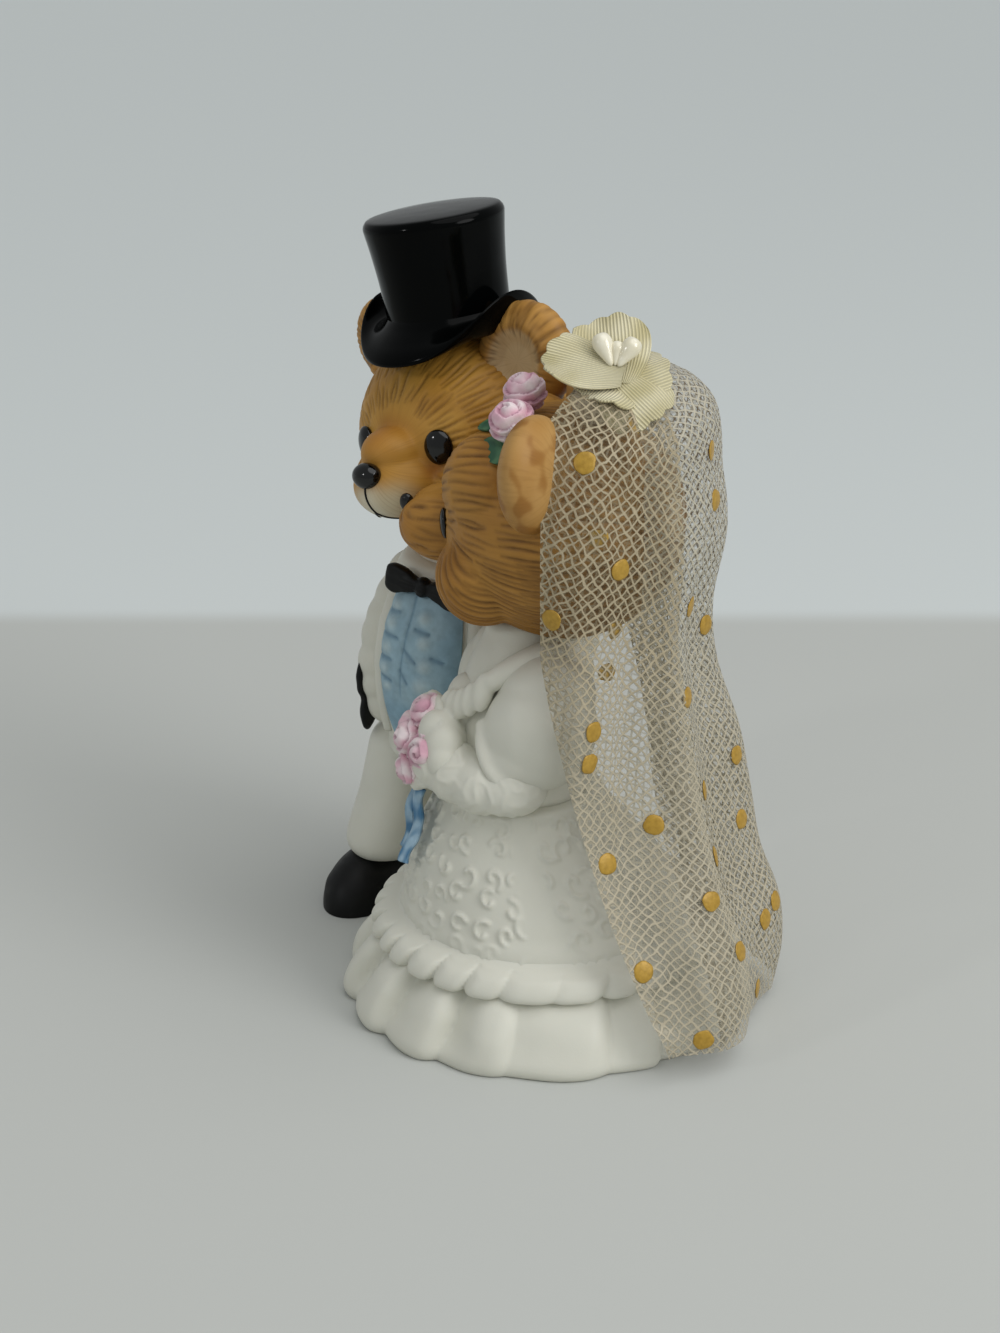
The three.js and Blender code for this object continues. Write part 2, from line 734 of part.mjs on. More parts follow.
function petalShape(place, grow) {
  const row = place < petalCount - 1 ? place % 2 : 2;
  const inner = petalLength * 0.2;
  const length = petalLength * (1 - row * 0.08) - inner + grow;
  const spin = (place / petalCount) * fullTurn + turn(20);
  const leaf = (u, v) => {
    const across = (u - 0.5) * 2;
    const wide = 0.24 + 0.76 * Math.sin(Math.max(v, 0) * 0.72 * Math.PI) ** 0.8;
    const tip = inner + length * v * (1 - 0.18 * across * across * v);
    const side = (petalWidth / 2 + grow) * across * wide;
    const lift = petalCup * v * v - petalThickness * 0.5 * across * across;
    const x = Math.cos(spin) * tip - Math.sin(spin) * side;
    const y = Math.sin(spin) * tip + Math.cos(spin) * side;
    return new THREE.Vector3(x, y, lift);
  };
  return onFlower(sheet(leaf, 4, 4, petalThickness + grow * 2), row * (petalThickness + seatGap * 1.2));
}

function pearlShape(fan) {
  const shares = [
    [0, 0], [0.34, 0.12], [0.66, 0.34], [0.94, 0.6], [0.96, 0.78], [0.6, 0.95], [0, 1],
  ];
  const profile = shares.map(([wide, high]) => [pearlRadius * wide, pearlLength * high]);
  const drop = lathe(profile, 8).rotateX(turn(-78)).translate(0, pearlLength * 0.32, 0);
  return onFlower(drop.rotateZ(turn(fan)), petalThickness * 2.6 + pearlRadius);
}

function makeFlower(skull) {
  const knot = gatherShape(seatGap);
  add(brideGroup, "veil_gather", cut(gatherShape(0), skull), finishes.net);
  const made = [];
  for (let place = 0; place < petalCount; place += 1) {
    const petal = cut(petalShape(place, 0), knot, skull, ...made);
    add(brideGroup, `satin_petal_${place + 1}`, petal, finishes.satin);
    made.push(petalShape(place, seatGap));
  }
  [-50, 0, 50].forEach((fan, i) => {
    add(brideGroup, `drop_pearl_${i + 1}`, cut(pearlShape(fan + 180), knot, ...made), finishes.pearl);
  });
}

// Veil: two panels of net that start under the flower and hang to the hem with soft folds

// Shares of the reach and of the height, from crown to hem, beside her left ear and behind her
const veilShares = [
  [0.155, 0.973, 0.17, 0.995], [0.26, 0.962, 0.3, 1], [0.386, 0.935, 0.43, 0.983],
  [0.509, 0.896, 0.55, 0.94], [0.577, 0.834, 0.65, 0.863], [0.589, 0.748, 0.68, 0.757],
  [0.577, 0.642, 0.615, 0.642], [0.609, 0.547, 0.635, 0.547], [0.629, 0.441, 0.735, 0.441],
  [0.691, 0.345, 0.79, 0.345], [0.814, 0.249, 0.85, 0.249], [0.923, 0.163, 0.955, 0.163],
  [0.989, 0.086, 0.98, 0.086], [1, 0.046, 0.945, 0.013],
];
const veilFoldCount = 8; // in a full turn
const veilTopShare = 0.115; // how far the gathered top stands beside the head's middle

function veilLine(v) {
  const place = v * (veilShares.length - 1);
  const first = Math.min(Math.max(Math.floor(place), 0), veilShares.length - 2);
  const share = place - first;
  const [a, b] = [veilShares[first], veilShares[first + 1]];
  return a.map((value, i) => value + (b[i] - value) * share);
}

// Degrees round from her left towards her back, at the crown and at the hem
const frontPanel = { from: [-24, 16], to: [38, 44], layers: 1 };
const backPanel = { from: [20, 28], to: [140, 128], layers: 0 };

// Least distance from the skirt's axis that keeps the net off the flounce and the frill
function skirtClearance(z) {
  const flounce = hemRadius + flounceBulge + pleatDepth;
  const frill = skirtRadius + headingReach + headingWave;
  const share = smooth((z / flounceHeight - 0.55) / 0.75);
  const above = 1 - smooth((z - flounceHeight - headingHeight) / headingHeight);
  return (flounce + (frill - flounce) * share + seatGap + veilThickness) * above;
}

function veilPoint(panel, u, v) {
  const [sideReach, sideHigh, backReach, backHigh] = veilLine(v);
  const low = Math.max(1 - sideHigh - 0.37, 0) / 0.63;
  const from = panel.from[0] + (panel.from[1] - panel.from[0]) * low;
  const to = panel.to[0] + (panel.to[1] - panel.to[0]) * low;
  const angle = turn(from + (to - from) * u);
  const behind = smooth((angle - turn(15)) / turn(60));
  const high = sideHigh + (backHigh - sideHigh) * behind;
  const loose = 0.1 + 0.9 * smooth((1 - high) * 1.5);
  const wave = Math.cos(angle * veilFoldCount + 0.8 + 1.4 * (1 - high));
  const still = smooth(v * 3);
  const fold = veilFold * loose * wave * still;
  const reach = veilReach * (sideReach + (backReach - sideReach) * behind) + fold;
  const layer = panel.layers * veilLayerGap;
  const shift = veilReach * veilTopShare * smooth(high * 6 - 5);
  const point = new THREE.Vector3(
    brideHeadMiddle.x + shift + Math.cos(angle) * (reach + layer),
    brideHeadMiddle.y + shift * 0.8 + Math.sin(angle) * (reach + layer),
    veilHeight * high + layer * smooth(high * 7 - 5.8),
  );
  const least = skirtClearance(point.z) + layer;
  const radius = Math.hypot(point.x, point.y);
  const push = Math.max(least / radius, 1);
  point.x *= push;
  point.y *= push;
  return point;
}

function veilPanel(panel, columns) {
  const rows = veilShares.length - 1;
  return sheet((u, v) => veilPoint(panel, u, v), columns, rows, veilThickness);
}

function makeVeil(skull) {
  const ears = [1, -1].map((side) => onBrideHead(earShape(side, brideHeadHalf, seatGap)));
  const clear = [gatherShape(seatGap), skull, ...ears];
  for (let place = 0; place < petalCount; place += 1) {
    clear.push(petalShape(place, seatGap));
  }
  add(brideGroup, "veil_front_panel", cut(veilPanel(frontPanel, 10), ...clear), finishes.net);
  add(brideGroup, "veil_back_panel", cut(veilPanel(backPanel, 18), ...clear), finishes.net);
}

// Groom's coat, shirt, tie, sleeves, trousers and shoe

const coatShares = [
  [0.9, -0.05], [0.95, 0.08], [1, 0.3], [1.03, 0.52], [1.0, 0.74], [0.9, 0.92], [0.68, 1.04],
  [0.42, 1.1],
];

function coatHeight(high) {
  return groomWaistHeight + (groomShoulderHeight - groomWaistHeight) * high;
}

function coatRadiusShare(z) {
  const high = (z - groomWaistHeight) / (groomShoulderHeight - groomWaistHeight);
  let i = 0;
  while (i < coatShares.length - 2 && coatShares[i + 1][1] < high) i += 1;
  const [[wideLow, low], [wideHigh, top]] = [coatShares[i], coatShares[i + 1]];
  return wideLow + ((wideHigh - wideLow) * (high - low)) / (top - low);
}

function belly(point) {
  const high = (point.z - groomWaistHeight) / (groomShoulderHeight - groomWaistHeight);
  const front = smooth(-point.y / coatHalfDepth);
  point.y -= bellyForward * front * Math.sin(Math.PI * Math.min(Math.max(high * 0.8 + 0.2, 0), 1));
}

function coatShape(grow) {
  const profile = [[0, coatHeight(coatShares[0][1]) - grow]];
  coatShares.forEach(([wide, high], i) => {
    const shift = i === 0 ? -grow : grow * high;
    profile.push([wide + grow / coatHalfWidth, coatHeight(high) + shift]);
  });
  profile.push([0, coatHeight(coatShares[coatShares.length - 1][1]) + grow]);
  return reshaped(lathe(profile, 20).scale(coatHalfWidth, coatHalfDepth, 1), belly);
}

function onCoat(angleDegrees, z, lift) {
  const angle = turn(angleDegrees - 90);
  const share = coatRadiusShare(z);
  const point = new THREE.Vector3(
    Math.cos(angle) * (coatHalfWidth * share + lift),
    Math.sin(angle) * (coatHalfDepth * share + lift),
    z,
  );
  belly(point);
  return point;
}

function groomHeadShape(grow) {
  const half = groomHeadHalf + grow;
  return onGroomHead(ball(half, half, half * 0.98, 22, 13));
}

function legShape(side, grow) {
  const high = groomWaistHeight - seatGap - groomWaistHeight * 0.06;
  const leg = new THREE.CylinderGeometry(1, 1, 1, 16, 4).rotateX(turn(90));
  return reshaped(leg, (point) => {
    const share = point.z + 0.5;
    const flare = 1 + 0.14 * (1 - smooth(share * 3)) - 0.05 * Math.sin(Math.PI * share);
    const width = (legHalfWidth * flare + grow) * point.x;
    const depth = ((legHalfDepth + (coatHalfDepth * 0.84 - legHalfDepth) * share) * flare + grow) * point.y;
    point.x = side * (legSpread + (legHalfWidth * 0.78 - legSpread) * share) + width;
    point.y = -legForward * (1 - share) + depth;
    point.z = trouserHemHeight - grow + (high - trouserHemHeight + grow * 2) * share;
  });
}

function flounceEnvelope(grow) {
  const wide = hemRadius + flounceBulge + pleatDepth + grow;
  const frill = skirtRadius + headingReach + headingWave + seatGap + grow;
  const top = flounceHeight + grow;
  const profile = [
    [0, -cutOverrun], [wide, -cutOverrun], [wide, flounceHeight * 0.62], [frill, top],
    [frill, top + headingHeight * 0.3], [skirtRadius + grow * 2, top + headingHeight + seatGap],
    [0, top + headingHeight + seatGap],
  ];
  return lathe(profile, 36);
}

function shoeShape() {
  const shoe = ball(shoeHalfWidth, shoeHalfLength, shoeHeight, 14, 10);
  const place = moved(shoe, -legSpread - legHalfWidth * 0.36, -legForward - shoeHalfLength * 0.5, 0);
  const below = new THREE.BoxGeometry(cutOverrun * 20, cutOverrun * 20, cutOverrun * 5);
  return cut(place, moved(below, 0, 0, -cutOverrun * 2.5));
}

function makeTrousers() {
  const skirt = [fromBride(skirtEnvelope(seatGap)), fromBride(flounceEnvelope(seatGap))];
  const trousers = joined(legShape(1, 0), legShape(-1, 0));
  add(groomGroup, "groom_trousers", cut(trousers, ...skirt), finishes.whiteBisque);
  const shoe = cut(shoeShape(), legShape(-1, seatGap), ...skirt);
  add(groomGroup, "groom_shoe_right", shoe, finishes.blackPaint);
}

function sleevePlaces(side) {
  const shoulder = groomShoulderHeight - sleeveRadius * 0.95;
  const out = coatHalfWidth;
  if (side < 0) {
    return [
      [-out * 0.76, 0, shoulder],
      [-out * 0.93, -coatHalfDepth * 0.24, shoulder - sleeveRadius * 1.5],
      [-out * 0.97, -coatHalfDepth * 0.38, shoulder - sleeveRadius * 3.2],
    ];
  }
  return [
    [out * 0.8, 0, shoulder],
    [out * 1.45, coatHalfDepth * 0.3, shoulder - sleeveRadius * 0.9],
    [out * 1.66, -coatHalfDepth * 0.56, shoulder - sleeveRadius * 2.3],
  ];
}

function sleeveShape(side, grow) {
  return limb(sleevePlaces(side), sleeveRadius + grow, sleeveEndRadius + grow, 8, 6);
}

function groomPawShape(side, grow) {
  const places = sleevePlaces(side);
  const [x, y, z] = places[2];
  const radius = sleeveEndRadius * 0.86 + grow;
  const drop = side < 0 ? [0, -0.15, -0.95] : [0.72, -0.6, -0.1];
  const [dx, dy, dz] = drop.map((share) => share * sleeveEndRadius);
  return moved(ball(radius, radius, radius * 1.12, 8, 6), x + dx, y + dy, z + dz);
}

function glovesShape() {
  const [x, y, z] = sleevePlaces(-1)[2];
  const thick = sleeveEndRadius * 0.42;
  const upper = ball(thick, thick * 1.9, sleeveEndRadius * 1.35, 8, 6);
  const lower = ball(thick, thick * 1.6, sleeveEndRadius * 0.95, 8, 6);
  const out = x - sleeveEndRadius * 0.92;
  const fold = z - sleeveEndRadius * 1.9;
  return joined(
    moved(upper, out, y, fold + sleeveEndRadius * 1.05),
    moved(lower, out + thick * 0.2, y, fold - sleeveEndRadius * 0.7),
  );
}

function shirtPanel() {
  const top = coatHeight(0.96);
  const low = coatHeight(0.16);
  const half = THREE.MathUtils.radToDeg(shirtHalfWidth / coatHalfDepth);
  const front = (u, v) => {
    const across = (u - 0.5) * 2;
    const end = Math.sqrt(Math.max(1 - Math.max(v * 1.25 - 0.3, 0) ** 2 * 0.72, 0.2));
    const z = top + (low - top) * v;
    return onCoat(across * half * end * (0.86 + 0.14 * v), z, shirtThickness * 0.7);
  };
  return sheet(front, 6, 6, shirtThickness);
}

function lapelShape(side, grow) {
  const top = coatHeight(0.9);
  const low = coatHeight(0.12);
  const half = THREE.MathUtils.radToDeg(shirtHalfWidth / coatHalfDepth);
  const strip = (u, v) => {
    const z = top + (low - top) * v;
    const spread = half * (1.16 + u * (0.32 - 0.14 * v));
    return onCoat(side * spread, z, shirtThickness * 0.5);
  };
  return sheet(strip, 2, 6, shirtThickness * 1.6 + grow * 2);
}

function bowPiece(side) {
  const wing = ball(bowHalfWidth * 0.52, bowThickness / 2, bowHalfHeight, 10, 6);
  const shaped = reshaped(wing, (point) => {
    point.z *= 0.55 + 0.45 * smooth(0.5 + (side * point.x) / bowHalfWidth);
  });
  return moved(shaped, side * bowHalfWidth * 0.56, 0, 0);
}

function onTie(geometry) {
  const seat = onCoat(0, coatHeight(0.96), bowThickness * 0.95);
  return geometry.clone().rotateY(turn(12)).translate(seat.x, seat.y, seat.z);
}

function makeTie(clear) {
  const knot = ball(bowHalfHeight * 0.6, bowThickness * 0.7, bowHalfHeight * 0.62, 10, 8);
  const tie = joined(knot, bowPiece(1), bowPiece(-1));
  add(groomGroup, "bow_tie", cut(onTie(tie), ...clear), finishes.blackPaint);
}

function collarShape(grow) {
  const low = coatHeight(0.93) - grow;
  const top = coatHeight(0.93) + collarHeight + grow;
  const radius = coatHalfWidth * 0.93;
  const inside = radius * 0.5;
  const profile = [
    [inside, low], [radius + grow, low], [radius * 0.9 + grow, top], [inside, top], [inside, low],
  ];
  return lathe(profile, 20).scale(1, coatHalfDepth / coatHalfWidth, 1);
}

function makeGroomBody(skull) {
  const bride = [
    puffShape(-1, seatGap), bodiceShape(seatGap), forearmShape(-1, seatGap), brideHeadShape(seatGap),
    skirtEnvelope(seatGap),
  ].map(fromBride);
  const coat = coatWithLapels(seatGap);
  const body = coatWithLapels(0);
  add(groomGroup, "groom_coat", cut(body, skull, ...bride), finishes.whiteBisque);
  add(groomGroup, "groom_shirt", cut(shirtPanel(), coat, skull, ...bride), finishes.blueBisque);
  for (const side of [1, -1]) {
    const end = side > 0 ? "left" : "right";
    const sleeve = cut(sleeveShape(side, 0), coat, skull, ...bride);
    add(groomGroup, `groom_sleeve_${end}`, sleeve, finishes.whiteBisque);
    const near = [sleeveShape(side, seatGap), legShape(side, seatGap), coat, ...bride];
    const paw = cut(groomPawShape(side, 0), ...near);
    add(groomGroup, `groom_paw_${end}`, paw, finishes.brownBisque);
  }
  const hand = [sleeveShape(-1, seatGap), groomPawShape(-1, seatGap), coat, legShape(-1, seatGap)];
  add(groomGroup, "groom_gloves", cut(glovesShape(), ...hand), finishes.blackPaint);
  makeTie([coat, coatShape(shirtThickness + seatGap * 2), skull]);
}

function coatWithLapels(grow) {
  return joined(coatShape(grow), lapelShape(1, grow), lapelShape(-1, grow), collarShape(grow));
}

// Groom's top hat

const brimSeatShare = 0.9; // of the head's half, the brim's height above its middle
const hatTurn = 4; // degrees, forwards

function onHat(geometry) {
  const copy = geometry.clone().rotateX(turn(hatTurn));
  return onGroomHead(copy.translate(groomHeadHalf * 0.1, -hatForward, groomHeadHalf * brimSeatShare));
}

function brimShape(grow) {
  const edge = brimRadius + grow;
  const profile = [
    [0, -grow], [crownBaseRadius, -grow], [edge * 0.84, -grow], [edge, -grow * 0.5],
    [edge * 0.97, brimThickness + grow], [crownBaseRadius, brimThickness + grow],
    [0, brimThickness + grow],
  ];
  return onHat(reshaped(lathe(profile, 28), (point) => {
    const radius = Math.hypot(point.x, point.y);
    const out = Math.max((radius - crownBaseRadius) / (brimRadius - crownBaseRadius), 0);
    const side = (point.x / Math.max(radius, seatGap)) ** 2;
    point.z += out * out * (brimCurl * side * side - brimDip * (1 - side));
    point.y *= 1 + 0.08 * out;
  }));
}

function makeHat(skull) {
  const low = brimThickness + seatGap;
  const profile = [
    [0, low], [crownBaseRadius, low], [crownBaseRadius * 1.01, low + crownHeight * 0.4],
    [crownTopRadius * 0.97, low + crownHeight * 0.82], [crownTopRadius, low + crownHeight * 0.94],
    [crownTopRadius * 0.94, low + crownHeight], [0, low + crownHeight * 1.01],
  ];
  add(groomGroup, "hat_crown", cut(onHat(lathe(profile, 28)), skull), finishes.blackGlaze);
  add(groomGroup, "hat_brim", cut(brimShape(0), skull), finishes.blackGlaze);
}

// The whole figurine, set on the table with its middle at the origin

makeBrideBody();
makeBouquet();
const brideSkull = brideHeadShape(seatGap);
makeFace(brideGroup, "bride", brideHeadHalf, brideMuzzleReach, onBrideHead, brideHeadShape, []);
makeEars(brideGroup, "bride", brideHeadHalf, onBrideHead, [brideSkull]);
makeHairFlowers(brideSkull);
makeFlower(brideSkull);
makeVeil(brideSkull);

const groomSkull = groomHeadShape(seatGap);
makeTrousers();
makeGroomBody(groomSkull);
makeFace(groomGroup, "groom", groomHeadHalf, groomMuzzleReach, onGroomHead, groomHeadShape, []);
const brims = [brimShape(0), brimShape(seatGap)].flatMap((brim) => [brim, moved(brim, 0, 0, -seatGap)]);
makeEars(groomGroup, "groom", groomHeadHalf, onGroomHead, [groomSkull, ...brims]);
makeHat(groomSkull);

const room = new THREE.Box3().setFromObject(figurine, true);
const middle = room.getCenter(new THREE.Vector3());
figurine.position.set(-middle.x, -middle.y, -room.min.z);

export default figurine;
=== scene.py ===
import math
import random

import bmesh
import bpy
from mathutils import Matrix, Vector, kdtree, noise
from mathutils.bvhtree import BVHTree


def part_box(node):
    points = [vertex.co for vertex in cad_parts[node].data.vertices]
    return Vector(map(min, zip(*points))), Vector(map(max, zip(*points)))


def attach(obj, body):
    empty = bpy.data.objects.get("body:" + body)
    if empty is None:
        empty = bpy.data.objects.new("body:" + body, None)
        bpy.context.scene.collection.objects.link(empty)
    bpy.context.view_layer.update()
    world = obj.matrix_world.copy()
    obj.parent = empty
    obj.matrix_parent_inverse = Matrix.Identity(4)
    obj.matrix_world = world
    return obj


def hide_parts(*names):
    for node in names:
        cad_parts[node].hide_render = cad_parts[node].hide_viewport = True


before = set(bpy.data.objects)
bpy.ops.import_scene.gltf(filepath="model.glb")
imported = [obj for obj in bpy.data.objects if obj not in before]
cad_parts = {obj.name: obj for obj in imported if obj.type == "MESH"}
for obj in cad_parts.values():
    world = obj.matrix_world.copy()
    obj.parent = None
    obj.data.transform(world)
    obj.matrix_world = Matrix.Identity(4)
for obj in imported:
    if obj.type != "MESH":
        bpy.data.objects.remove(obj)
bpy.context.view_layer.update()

# Teddy bear wedding figurine: painted bisque porcelain, a net veil and a satin flower.
# Shapes are worked out in millimetres in each bear's own frame (+X its left, -Y its front)
# and put in place in metres at the end.

mm = 0.001
couple = {"brideTurn": -12.5, "groomTurn": 33.5, "groomFrom": (-36.167, 2.796)}
brideHead = {"middle": (0, 2.6, 80.0), "half": 18.5, "turn": -48.0, "lean": 9.0}
groomHead = {"middle": (0, 1.5, 84.0), "half": 18.9, "turn": 23.0, "lean": -8.5}

skirtLow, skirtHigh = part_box("bride_skirt")
hemMiddle = Vector(((skirtLow[0] + skirtHigh[0]) / 2, (skirtLow[1] + skirtHigh[1]) / 2, 0))


def turned(degrees, axis):
    return Matrix.Rotation(math.radians(degrees), 4, axis)


def headSpot(head, bodyTurn):
    return (Matrix.Translation(head["middle"]) @ turned(head["turn"] - bodyTurn, "Z")
            @ turned(head["lean"], "Y"))


brideFrame = Matrix.Translation(hemMiddle) @ turned(couple["brideTurn"], "Z") @ Matrix.Scale(mm, 4)
groomFrom = hemMiddle + Vector((*couple["groomFrom"], 0)) * mm
groomFrame = Matrix.Translation(groomFrom) @ turned(couple["groomTurn"], "Z") @ Matrix.Scale(mm, 4)
brideHeadFrame = brideFrame @ headSpot(brideHead, couple["brideTurn"])
groomHeadFrame = groomFrame @ headSpot(groomHead, couple["groomTurn"])
bears = {"groom": (groomHead, groomHeadFrame), "bride": (brideHead, brideHeadFrame)}

# camera as in the photo, its focal length in pixels, its place in metres from the gown's middle
photo = {"width": 1000, "height": 1333, "focal": 2268.0, "pitch": 22.1, "azimuth": 65.0,
         "aside": -0.0075, "away": 0.3274, "above": 0.189, "film": 36.0}
stageLook = {"floor": "#C0C2BE", "wall": "#D2D7D6", "wallBehind": 0.163, "blur": 0.012, "radius": 4.0}
lampLook = {"key": 2.0, "window": 0.2, "sun": 1.1, "sunWidth": 60, "world": 0.43, "sky": "#EDF1F2",
            "aim": (-0.02, 0, 0.06)}


def linear(hexColour):
    parts = [int(hexColour[i:i + 2], 16) / 255 for i in (1, 3, 5)]
    return tuple(c / 12.92 if c <= 0.04045 else ((c + 0.055) / 1.055) ** 2.4 for c in parts) + (1.0,)


def settle(tree, node, values):
    # a socket is linked, and what is equal all over is set: a hex colour or a number
    for key, value in values.items():
        if isinstance(value, bpy.types.NodeSocket):
            tree.links.new(value, node.inputs[key])
        else:
            node.inputs[key].default_value = linear(value) if isinstance(value, str) else value


def addNode(tree, kind, gives, values=None, **settings):
    made = tree.nodes.new("ShaderNode" + kind)
    for key, value in settings.items():
        setattr(made, key, value)
    settle(tree, made, values or {})
    return made.outputs[gives]


def newMaterial(name):
    made = bpy.data.materials.new(name)
    made.use_nodes = True
    return made, made.node_tree, made.node_tree.nodes["Principled BSDF"]


def linkIn(name, data):
    made = bpy.data.objects.new(name, data)
    bpy.context.scene.collection.objects.link(made)
    return made


def makeCamera():
    yaw = math.radians(photo["azimuth"])
    ahead = Vector((-math.sin(yaw), math.cos(yaw), 0))
    aside = Vector((math.cos(yaw), math.sin(yaw), 0))
    lens = bpy.data.cameras.new("photoCamera")
    lens.sensor_fit = "HORIZONTAL"
    lens.sensor_width = photo["film"]
    lens.lens = photo["film"] * photo["focal"] / photo["width"]
    lens.clip_start = 0.01
    lens.clip_end = 20
    camera = linkIn("photoCamera", lens)
    camera.location = (hemMiddle + aside * photo["aside"] - ahead * photo["away"]
                       + Vector((0, 0, photo["above"])))
    camera.rotation_euler = (math.radians(90 - photo["pitch"]), 0, yaw)
    bpy.context.scene.camera = camera
    return camera, ahead, aside


camera, ahead, aside = makeCamera()


def pixelRay(x, y):
    right = (x - photo["width"] / 2) / photo["focal"]
    down = (y - photo["height"] / 2) / photo["focal"]
    turn = camera.rotation_euler.to_matrix()
    return camera.location.copy(), (turn @ Vector((right, -down, -1))).normalized()


def makeStage():
    bm = bmesh.new()
    bmesh.ops.create_circle(bm, cap_ends=True, segments=96, radius=stageLook["radius"])
    floor = pieceOf(bm, "studioFloor")
    made, tree, shader = newMaterial("seamlessPaper")  # pale matt paper that turns cooler behind
    spot = addNode(tree, "TexCoord", "Object")
    behind = addNode(tree, "VectorMath", "Value", {0: spot, 1: tuple(ahead)}, operation="DOT_PRODUCT")
    line = hemMiddle.dot(ahead) + stageLook["wallBehind"]
    share = addNode(tree, "MapRange", "Result", {"Value": behind, "From Min": line,
                                                 "From Max": line + stageLook["blur"]},
                    interpolation_type="SMOOTHSTEP")
    settle(tree, shader, {
        "Base Color": addNode(tree, "Mix", 2, {0: share, 6: stageLook["floor"], 7: stageLook["wall"]},
                              data_type="RGBA"),
        "Roughness": 0.9, "Specular IOR Level": 0.1})
    floor.data.materials.append(made)


def makeLamps():
    world = bpy.data.worlds.new("studio")
    bpy.context.scene.world = world
    world.use_nodes = True
    settle(world.node_tree, world.node_tree.nodes["Background"],
           {"Color": lampLook["sky"], "Strength": lampLook["world"]})
    middle = hemMiddle + Vector(lampLook["aim"])
    lamps = [("keyLamp", "AREA", (0.55, -0.4, 0.36), 0.4, lampLook["key"]),
             ("windowLamp", "AREA", (-0.42, -0.3, 0.25), 0.05, lampLook["window"]),
             ("skyLamp", "SUN", (0.3, -0.2, 0.85), 0, lampLook["sun"])]
    for name, kind, (right, back, high), size, power in lamps:
        light = bpy.data.lights.new(name, kind)
        light.energy = power
        if kind == "SUN":
            light.angle = math.radians(lampLook["sunWidth"])
        else:
            light.shape = "DISK"
            light.size = size
        lamp = linkIn(name, light)
        lamp.location = middle + right * aside + back * ahead + Vector((0, 0, high))
        lamp.rotation_euler = (middle - lamp.location).to_track_quat("-Z", "Y").to_euler()
    bpy.context.scene.view_settings.view_transform = "Standard"


def pieceOf(bm, name):
    mesh = bpy.data.meshes.new(name)
    bm.to_mesh(mesh)
    bm.free()
    return linkIn(name, mesh)


def settledMesh(piece):
    graph = bpy.context.evaluated_depsgraph_get()
    return bpy.data.meshes.new_from_object(piece.evaluated_get(graph))


def applyModifiers(piece):
    settled, old = settledMesh(piece), piece.data
    piece.modifiers.clear()
    piece.data = settled
    bpy.data.meshes.remove(old)


def finish(piece, spot, paint, *nodes, slot=None):
    # put in place in metres and painted; the nodes that it replaces are hidden
    material, ownSlot = paints[paint]
    piece.data.transform(spot)
    piece.data.polygons.foreach_set("use_smooth", [True] * len(piece.data.polygons))
    piece.data.materials.clear()
    piece.data.materials.append(material)
    piece.data.update()
    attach(piece, "root")
    if nodes:
        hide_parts(*nodes)


def lifted(piece, heights):
    normals = [v.normal.copy() for v in piece.data.vertices]
    for v, normal, height in zip(piece.data.vertices, normals, heights):
        v.co += normal * height
    piece.data.update()


def carve(piece, heightAt):
    lifted(piece, [heightAt(v.co) for v in piece.data.vertices])


def bend(piece, placeAt):
    for v in piece.data.vertices:
        v.co = placeAt(v.co)
    piece.data.update()


def pointData(piece, kind, **layers):
    key = {"FLOAT": "value", "FLOAT_VECTOR": "vector", "FLOAT_COLOR": "color"}[kind]
    for name, values in layers.items():
        piece.data.attributes.new(name, kind, "POINT").data.foreach_set(key, values)


def paintPoints(piece, colourAt):
    pointData(piece, "FLOAT_COLOR", paint=[c for v in piece.data.vertices for c in colourAt(v.co)])


def pointTree(points):
    tree = kdtree.KDTree(len(points))
    for i, p in enumerate(points):
        tree.insert(p, i)
    tree.balance()
    return tree


def surfaceTree(piece):
    return BVHTree.FromPolygons([v.co for v in piece.data.vertices],
                                [list(f.vertices) for f in piece.data.polygons])


def smooth(share):
    kept = min(max(share, 0.0), 1.0)
    return kept * kept * (3 - 2 * kept)


def mixed(a, b, share):
    return tuple(p + (q - p) * share for p, q in zip(a, b))


def between(outline, z):
    # radius of an outline at a height
    for (r1, z1), (r2, z2) in zip(outline, outline[1:]):
        if z <= z2:
            return r1 + (r2 - r1) * (z - z1) / max(z2 - z1, 0.01)
    return outline[-1][0]


def curved(a, b, c, d, t):
    # a smooth line through four places, between the middle two
    return 0.5 * ((2 * b) + (c - a) * t + (2 * a - 5 * b + 4 * c - d) * t * t
                  + (3 * b - a - 3 * c + d) * t ** 3)


def pair(middle, *rest):
    return [((side * middle[0], *middle[1:]), *rest) for side in (1, -1)]


def clay(name, lumps, voxel, soften):
    # balls pressed together into one smooth lump
    bm = bmesh.new()
    for middle, halves, *tilts in lumps:
        tilt = Matrix.Identity(4)
        for degrees, axis in tilts:
            tilt = tilt @ turned(degrees, axis)
        spot = Matrix.Translation(middle) @ tilt @ Matrix.Diagonal((*halves, 1))
        bmesh.ops.create_icosphere(bm, subdivisions=4, radius=1, matrix=spot)
    piece = pieceOf(bm, name)
    weld(piece, voxel, soften)
    return piece


def weld(piece, voxel, soften):
    melt = piece.modifiers.new("melt", "REMESH")
    melt.mode = "VOXEL"
    melt.voxel_size = voxel
    rub = piece.modifiers.new("rub", "SMOOTH")
    rub.factor = 0.5
    rub.iterations = soften
    applyModifiers(piece)


def smoothLine(points, spacing, closed=False):
    ends = [Vector(p) for p in points]
    count = len(ends)
    line = []
    for i in range(count if closed else count - 1):
        a, b = ends[i], ends[(i + 1) % count]
        before = ends[i - 1] if closed or i > 0 else a + (a - b)
        after = ends[(i + 2) % count] if closed or i + 2 < count else b + (b - a)
        steps = max(int((b - a).length / spacing), 1)
        line += [curved(before, a, b, after, k / steps) for k in range(steps)]
    return line if closed else line + [ends[-1]]


